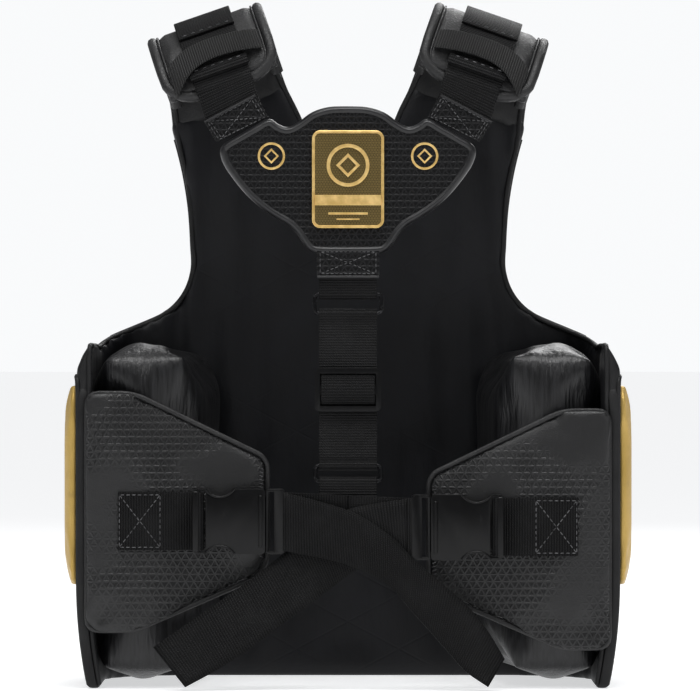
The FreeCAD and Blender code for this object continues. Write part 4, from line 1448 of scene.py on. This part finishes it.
def wire_ring(name, half, top, rise, body, node):
    corner = 0.0032
    spots = []
    for cx, cz, first in ((half - corner, top + corner, 90), (half - corner, top + rise - corner, 0),
                          (corner - half, top + rise - corner, -90), (corner - half, top + corner, 180)):
        for k in range(7):
            angle = math.radians(first - 15 * k)
            spots.append(down_strap(cz - corner * math.sin(angle), 0, cx + corner * math.cos(angle)))
    ring = cord_mesh(name, [spots], WIRE, closed=True, sides=4)
    dress(ring, wire)
    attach(ring, body)
    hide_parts(node)


upper_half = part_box("upper_ring")[1].x - WIRE
lower_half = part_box("lower_ring")[1].x - WIRE
wire_ring("upper_wire_ring", upper_half, 0.0, UPPER_RISE, "upper_ring", "upper_ring")
wire_ring("lower_wire_ring", lower_half, LOWER_BAR, LOWER_RISE, "lower_ring", "lower_ring")


def round_bar(down, start, end, radius, steps=12):
    """Points round a bar at a distance down the strap, from one angle to another."""
    return [
        down_strap(down - radius * math.sin(a), radius * math.cos(a))
        for a in (math.radians(start + (end - start) * k / steps) for k in range(steps + 1))
    ]


def webbing_strap(name, run, body, node, over=(1, 0, 0), half=WEB_HALF):
    """Webbing along a run, on one body, its width in one direction."""
    strip = ribbon(name, run, [Vector(over)] * len(run), 2 * half, WEB_THICK)
    dress(strip, webbing)
    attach(strip, body)
    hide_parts(node)
    return strip


def moulding(name, node, round_by, finish, body):
    """A CAD moulding with its edges rounded."""
    piece = bevelled(cad_copy(name, node), round_by, 3)
    dress(piece, finish)
    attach(piece, body)
    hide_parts(node)
    return piece


bar_reach = WIRE + 0.0003 + WEB_THICK / 2
straight = [UPPER_RISE + 0.006 + k * 0.0039 for k in range(32)]
strap_run = (
    [down_strap(d, WEB_THICK / 2) for d in reversed(straight)]
    + round_bar(UPPER_RISE, 0, 180, bar_reach)
    + [down_strap(d, -WEB_THICK / 2) for d in straight]
    + round_bar(LOWER_BAR, 180, 360, bar_reach)[1:]
)
strap_run.append(strap_run[0] + Vector((0, -0.0002, -0.0004)))
webbing_strap("centre_strap_webbing", strap_run, "back_strap", "centre_strap")
moulding("slider_frame", "strap_slider", 0.0011, plastic, "slider")

slider_low, slider_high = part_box("strap_slider")
slider_down = (UPPER_BAR - (slider_low.z + slider_high.z) / 2) / math.cos(LEAN)
bulge_run = [
    down_strap(slider_down + t * 0.0125, 0.0036 + 0.0052 * math.cos(t * math.pi / 2) ** 0.6)
    for t in (-0.98 + 1.96 * k / 22 for k in range(23))
]
webbing_strap("slider_webbing", bulge_run, "slider", "slider_fold", half=0.0232)

loop_run = (
    [Vector((0, HANG_Y - WEB_THICK / 2 - 0.0012, 0.3775 - k * 0.004)) for k in range(8)]
    + [Vector((0, HANG_Y - math.cos(a) * bar_reach, UPPER_BAR - math.sin(a) * bar_reach))
       for a in (math.radians(15 * k) for k in range(13))]
    + [Vector((0, HANG_Y + WEB_THICK / 2 + 0.0012, 0.3495 + k * 0.004)) for k in range(8)]
)
webbing_strap("yoke_loop_webbing", loop_run, "yoke", "yoke_loop")

# The hide tab that is sewn over the top of the loop, with a bead along its lower edge.
patch = bevelled(block("loop_patch", (0, HANG_Y - 0.0046, 0.3665), (0.0535, 0.0020, 0.0235)), 0.0007)
dress(patch, yoke_finish)
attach(patch, "yoke")
patch_y = HANG_Y - 0.0057
low_bead = cord_mesh("loop_patch_bead", [[(x * 0.0265 / 8, patch_y, 0.3550) for x in range(-8, 9)]], 0.0012)
dress(low_bead, border_finish)
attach(low_bead, "yoke")
stitching("loop_patch_stitches", [
    [(-0.0235, patch_y, 0.3765), (0.0235, patch_y, 0.3765)],
    [(-0.0235, patch_y, 0.3578), (0.0235, patch_y, 0.3578)],
    [(-0.0240, patch_y, 0.3578), (-0.0240, patch_y, 0.3765)],
    [(0.0240, patch_y, 0.3578), (0.0240, patch_y, 0.3765)],
    [(-0.0235, patch_y, 0.3578), (0.0235, patch_y, 0.3765)],
    [(-0.0235, patch_y, 0.3765), (0.0235, patch_y, 0.3578)],
], "yoke", *FINE_STITCH)

waist_down = LOWER_BAR + LOWER_RISE
waist_run = (
    [down_strap(waist_down + 0.026 - k * 0.004, WEB_THICK / 2 + 0.0016) for k in range(6)]
    + round_bar(waist_down, 0, 180, bar_reach)
    + [down_strap(waist_down + 0.006 + k * 0.004, -WEB_THICK / 2 - 0.0016) for k in range(6)]
)
webbing_strap("waist_loop_webbing", waist_run, "belt_loop", "waist_loop")


# ---------------------------------------------------------------- flaps
# Each flap is foam in pressed hide, thick in the middle and thin at its piped edge, hinged where
# it is sewn to the wing and whip-stitched along its short inner end.

FLAP_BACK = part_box("flap_padding_right")[1].y
FLAP_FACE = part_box("flap_cover_right")[0].y
FLAP_RIGHT = [
    (0.226, 0.034), (0.226, 0.241), (0.185, 0.241), (0.073, 0.187),
    (0.068, 0.179), (0.068, 0.094), (0.078, 0.080), (0.184, 0.034),
]
FLAP_CENTRE = (0.155, 0.138)
FLAP_LIFT = {"right": 0.0, "left": 0.015}

flap_hide = embossed_leather(
    "flap_leather", 0.0062, (0.017, 0.017, 0.0175), (0.0025, 0.0025, 0.003), gloss=0.36
)


def flap_outline(shrink, y, lift=0.0):
    cx, cz = FLAP_CENTRE
    points = []
    for x, z in FLAP_RIGHT:
        away = Vector((x - cx, 0, z - cz))
        away -= away.normalized() * shrink
        points.append(Vector((cx + away.x, y, cz + away.z + lift)))
    return points


def rounded_outline(points, radius, steps=4):
    """The outline with each corner cut round."""
    run = []
    for k, here in enumerate(points):
        back_to, on_to = points[k - 1], points[(k + 1) % len(points)]
        cut = min(radius, (back_to - here).length * 0.45, (on_to - here).length * 0.45)
        a = here + (back_to - here).normalized() * cut
        b = here + (on_to - here).normalized() * cut
        for j in range(steps + 1):
            t = j / steps
            run.append(a * (1 - t) ** 2 + here * 2 * t * (1 - t) + b * t * t)
    return run


def flap_pillow(name):
    """Foam blown up between a flat back and the piped edge."""
    outline = rounded_outline(flap_outline(0.0020, FLAP_BACK), 0.010)
    mesh = bpy.data.meshes.new(name)
    mesh.from_pydata(outline, [], [tuple(range(len(outline)))])
    pillow = placed(name, mesh)
    if mesh.polygons[0].normal.y > 0:
        mesh.flip_normals()
    only(pillow)
    bpy.ops.object.mode_set(mode="EDIT")
    bpy.ops.mesh.select_mode(type="FACE")
    bpy.ops.mesh.select_all(action="SELECT")
    bpy.ops.mesh.duplicate()
    bpy.ops.mesh.flip_normals()
    bpy.ops.mesh.select_all(action="INVERT")
    bpy.ops.mesh.extrude_region_move(TRANSFORM_OT_translate={"value": (0, -0.0045, 0)})
    bpy.ops.mesh.inset(thickness=0.012, depth=0)
    bpy.ops.transform.translate(value=(0, -0.0030, 0))
    bpy.ops.mesh.inset(thickness=0.016, depth=0)
    bpy.ops.transform.translate(value=(0, -0.0016, 0))
    bpy.ops.mesh.select_all(action="SELECT")
    bpy.ops.mesh.remove_doubles(threshold=0.0001)
    bpy.ops.mesh.normals_make_consistent(inside=False)
    bpy.ops.object.mode_set(mode="OBJECT")
    voxelled(pillow, 0.0042)
    eased(pillow, 3)
    stuffed(pillow, 0.0065, held=lambda spot: spot.y > FLAP_BACK - 0.0018)
    for vertex in pillow.data.vertices:
        x, y, z = vertex.co
        if y < FLAP_BACK - 0.003:
            lumps = noise.noise(Vector((x * 22, 3.0, z * 22)))
            vertex.co.y += 0.0010 * lumps
        vertex.co.y = min(max(vertex.co.y, FLAP_FACE - 0.0004), FLAP_BACK)
    eased(pillow, 2)
    refined(pillow)
    smooth_faces(pillow)
    return pillow


def surface_of(thing):
    """A finder of the outermost point of a piece at an X and Z, seen from behind."""
    depsgraph = bpy.context.evaluated_depsgraph_get()
    tree = BVHTree.FromObject(thing, depsgraph)

    def find(x, z, otherwise):
        hit = tree.ray_cast(Vector((x, -0.4, z)), Vector((0, 1, 0)))[0]
        return hit.y if hit else otherwise

    return find


pillow_right = flap_pillow("flap_pillow_right")
dress(pillow_right, flap_hide)
pillow_left = mirrored(pillow_right, "flap_pillow_left")
pillow_left.data.transform(Matrix.Translation((0, 0, FLAP_LIFT["left"])))
flap_face = surface_of(pillow_right)
for side, s, pillow in (("right", 1, pillow_right), ("left", -1, pillow_left)):
    lift = FLAP_LIFT[side]
    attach(pillow, "flap_" + side)
    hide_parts("flap_padding_" + side, "flap_cover_" + side)
    edge = rounded_outline(flap_outline(0.0014, FLAP_BACK - 0.0030, lift), 0.011)
    rim = cord_mesh("flap_piping_" + side + "_roll", [[Vector((s * p.x, p.y, p.z)) for p in edge]],
                    0.0022, closed=True, sides=3)
    dress(rim, hide)
    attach(rim, "flap_" + side)
    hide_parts("flap_piping_" + side)
    whip = []
    for k in range(24):
        z = 0.098 + lift + k * 0.0033
        near, far = 0.0720, 0.0765
        whip.append([
            (s * near, flap_face(near, z - lift, FLAP_BACK) - 0.0002, z),
            (s * far, flap_face(far, z + 0.0016 - lift, FLAP_BACK) - 0.0003, z + 0.0018),
        ])
    stitching("flap_whip_stitches_" + side, whip, "flap_" + side, 0.0050, 0.0, 0.0004)


# ---------------------------------------------------------------- buckles
# Side-release buckles: a hollow domed socket on webbing sewn to the flap, and a plug with two
# prongs that spring outwards and a bar that the waist belt is folded round.

def crowned(thing, rise, low, high):
    """Domes the rear face of a moulding."""
    for vertex in thing.data.vertices:
        u = (vertex.co.x - low.x) / (high.x - low.x) * 2 - 1
        w = (vertex.co.z - low.z) / (high.z - low.z) * 2 - 1
        outer = (high.y - vertex.co.y) / (high.y - low.y)
        if outer > 0.8:
            vertex.co.y += rise * (u * u * 0.5 + w * w * 0.9)


def moulded_bar(name, low, high, finish, body, round_by):
    middle = (Vector(low) + Vector(high)) / 2
    bar = block(name, middle, tuple(abs(b - a) for a, b in zip(low, high)))
    rounded(bar, round_by, 4)
    smooth_faces(bar)
    dress(bar, finish)
    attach(bar, body)
    return bar


BELT_LEVEL = {"left": 0.145, "right": 0.140}
SCALLOP_X = 0.110
SCALLOP_RADIUS = 0.015

for side, s in SIDES:
    level = BELT_LEVEL[side]
    flap_body = "flap_" + side
    low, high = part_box("buckle_socket_" + side)
    socket = moulding("socket_moulding_" + side, "buckle_socket_" + side, 0.0013, plastic, flap_body)
    crowned(socket, 0.0016, low, high)
    far = high.x if s > 0 else low.x
    bar_x = sorted((far - s * 0.0052, far + s * 0.0004))
    moulded_bar("socket_end_bar_" + side, (bar_x[0], low.y - 0.0010, level - 0.0262),
                (bar_x[1], low.y + 0.0060, level + 0.0262), plastic, flap_body, 0.0018)
    step_x = sorted((s * 0.0735, s * 0.0765))
    moulded_bar("socket_mouth_rib_" + side, (step_x[0], low.y - 0.0006, level - 0.0225),
                (step_x[1], low.y + 0.0030, level + 0.0225), plastic, flap_body, 0.0011)
    for edge, up in (("top", 1), ("low", -1)):
        rim = [
            Vector((s * SCALLOP_X + SCALLOP_RADIUS * math.cos(a), low.y + 0.0006,
                    level + up * (0.036 - SCALLOP_RADIUS * math.sin(a))))
            for a in (math.radians(34 + 112 * k / 20) for k in range(21))
        ]
        lip = cord_mesh("scallop_lip_%s_%s" % (edge, side), [rim], 0.0010)
        dress(lip, plastic)
        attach(lip, flap_body)
        prong = "prong_%s_%s" % (edge, side)
        moulding(prong + "_moulding", prong, 0.0009, plastic, prong)
    moulding("plug_moulding_" + side, "buckle_plug_" + side, 0.0011, plastic, "plug_" + side)

    # The webbing that anchors the socket: sewn flat on the flap, then up round the socket's bar.
    lies = [
        (x, min(flap_face(x, level - FLAP_LIFT[side], FLAP_FACE), FLAP_FACE + 0.001))
        for x in (0.1975 - k * 0.0045 for k in range(15))
    ]
    flat = [Vector((s * x, y - 0.0014, level)) for x, y in lies]
    rise = [Vector((s * x, y, level)) for x, y in (
        (0.1275, -0.1252), (0.1262, -0.1295), (0.1250, -0.1335), (0.1262, -0.1362),
        (0.1290, -0.1372), (0.1318, -0.1362),
    )]
    run = smooth_run(flat + rise, 2)
    anchor = webbing_strap("anchor_webbing_" + side, run, flap_body, "anchor_web_" + side, (0, 0, 1))
    face_y = min(v.co.y for v in anchor.data.vertices if abs(v.co.x) > 0.150) - 0.0001
    box_x = (s * 0.1965, s * 0.1615)
    box_z = (level - 0.0225, level + 0.0225)
    stitching("anchor_stitches_" + side, [
        [(box_x[a], face_y, box_z[b]), (box_x[c], face_y, box_z[d])] for a, b, c, d in (
            (0, 0, 0, 1), (1, 0, 1, 1), (0, 0, 1, 0), (0, 1, 1, 1), (0, 0, 1, 1), (0, 1, 1, 0),
        )
    ], flap_body)


# ---------------------------------------------------------------- waist belt
# The same webbing joins the two plugs behind the strap's loop: one half from each plug, folded
# round its bar, and the spare length of each hangs across the middle and down to the hem.

BELT_Y = -0.1294
PLUG_BAR_X = 0.0589
NEAR_X = 0.0544

for side, s in SIDES:
    level = BELT_LEVEL[side]
    middle_z = (BELT_LEVEL["left"] + BELT_LEVEL["right"]) / 2
    run = [
        Vector((s * x, BELT_Y - 0.0005 * math.sin(x * 90), middle_z + (level - middle_z) * x / NEAR_X))
        for x in (0.0004 + (PLUG_BAR_X - 0.0004) * k / 15 for k in range(16))
    ]
    run += [Vector((s * (PLUG_BAR_X + 0.0026 * math.sin(a)), BELT_Y - 0.0028 + 0.0028 * math.cos(a), level))
            for a in (math.radians(25 * k) for k in range(1, 8))]
    run += [Vector((s * x, BELT_Y - 0.0056, level)) for x in (PLUG_BAR_X - 0.004, PLUG_BAR_X - 0.0085)]
    half = webbing_strap(
        "waist_belt_" + side, run, "plug_" + side, "waist_strap_" + side, (0, 0, 1)
    )
    "plug_%s_release" % side
    s * PLUG_BAR_X
    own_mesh(half)


LEFT_UPPER = [(0.0555, 0.1700), (0.024, 0.1620), (-0.006, 0.1520), (-0.036, 0.1330),
              (-0.057, 0.1120), (-0.079, 0.0930), (-0.101, 0.0740), (-0.119, 0.0520), (-0.134, 0.0270)]
LEFT_LOWER = [(0.0555, 0.1200), (0.022, 0.1135), (-0.009, 0.1045), (-0.036, 0.0890),
              (-0.054, 0.0690), (-0.071, 0.0500), (-0.086, 0.0330), (-0.101, 0.0165), (-0.120, 0.0035)]
RIGHT_UPPER = [(0.0555, 0.1650), (0.022, 0.1600), (-0.007, 0.1520), (-0.049, 0.1220),
               (-0.080, 0.0980), (-0.108, 0.0780), (-0.137, 0.0580), (-0.167, 0.0370)]
RIGHT_LOWER = [(0.0555, 0.1150), (0.030, 0.1130), (0.006, 0.1025), (-0.026, 0.0790),
               (-0.056, 0.0570), (-0.084, 0.0360), (-0.112, 0.0180), (-0.1395, 0.0030)]


def curved_ribbon(name, upper, lower, side, layer, lifts, columns=8):
    """The loose end itself, shaped on a grid so that its edges follow the two given ones."""
    s = dict(SIDES)[side]
    tops = smooth_run([(x, 0, z) for x, z in upper], 6)
    lows = smooth_run([(x, 0, z) for x, z in lower], 6)
    heights = smooth_run([(lift, 0, 0) for lift in lifts], 6)
    rows = len(tops)
    strip = flat_grid(name, columns, rows - 1)
    lengths = [0.0]
    for a, b, c, d in zip(tops, tops[1:], lows, lows[1:]):
        lengths.append(lengths[-1] + ((b + d) / 2 - (a + c) / 2).length)
    spots = []
    for vertex in strip.data.vertices:
        over = vertex.co.x + 0.5
        row = round((vertex.co.y + 0.5) * (rows - 1))
        raised = heights[min(round(row * (len(heights) - 1) / (rows - 1)), len(heights) - 1)].x
        spot = lows[row].lerp(tops[row], over)
        missing = math.sqrt(max((2 * WEB_HALF) ** 2 - (tops[row] - lows[row]).length_squared, 0)) * 0.2
        curl = 0.0009 * math.sin(over * math.pi)
        spots.append((over * 2 * WEB_HALF, lengths[row]))
        vertex.co = Vector((s * spot.x, layer - raised - curl + (over - 0.5) * missing, spot.z))
    laid_out(strip, spots)
    thickened(strip, WEB_THICK * 0.85)
    apply_all(strip)
    smooth_faces(strip)
    faced_outwards(strip)
    dress(strip, webbing)
    return strip


left_tail = curved_ribbon(
    "loose_end_left", LEFT_UPPER, LEFT_LOWER, "left", -0.1355,
    (0.0, 0.0010, 0.0025, 0.0040, 0.0045, 0.0040, 0.0030, 0.0024, 0.0020),
)
right_tail = curved_ribbon(
    "loose_end_right", RIGHT_UPPER, RIGHT_LOWER, "right", -0.1326,
    (0.0010, 0.0004, 0.0, 0.0, 0.0010, 0.0022, 0.0026, 0.0026),
)
for piece, side in ((left_tail, "left"), (right_tail, "right")):
    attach(piece, "tail_" + side)
    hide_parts("belt_tail_" + side)


# ---------------------------------------------------------------- all pieces placed
# The floor's own finish.

floor_finish = Finish("studio_paper", "cover_leather")
floor_grain = floor_finish.speckle(floor_finish.place(), 40, 2)
floor_finish.finished(
    floor_finish.blend(floor_grain, (0.62, 0.62, 0.625), (0.65, 0.65, 0.655)), 0.9
)
floor_finish.skin.inputs["Emission Color"].default_value = (0.95, 0.96, 0.97, 1)
floor_finish.skin.inputs["Emission Strength"].default_value = 0.64
floor.data.materials.append(floor_finish.material)
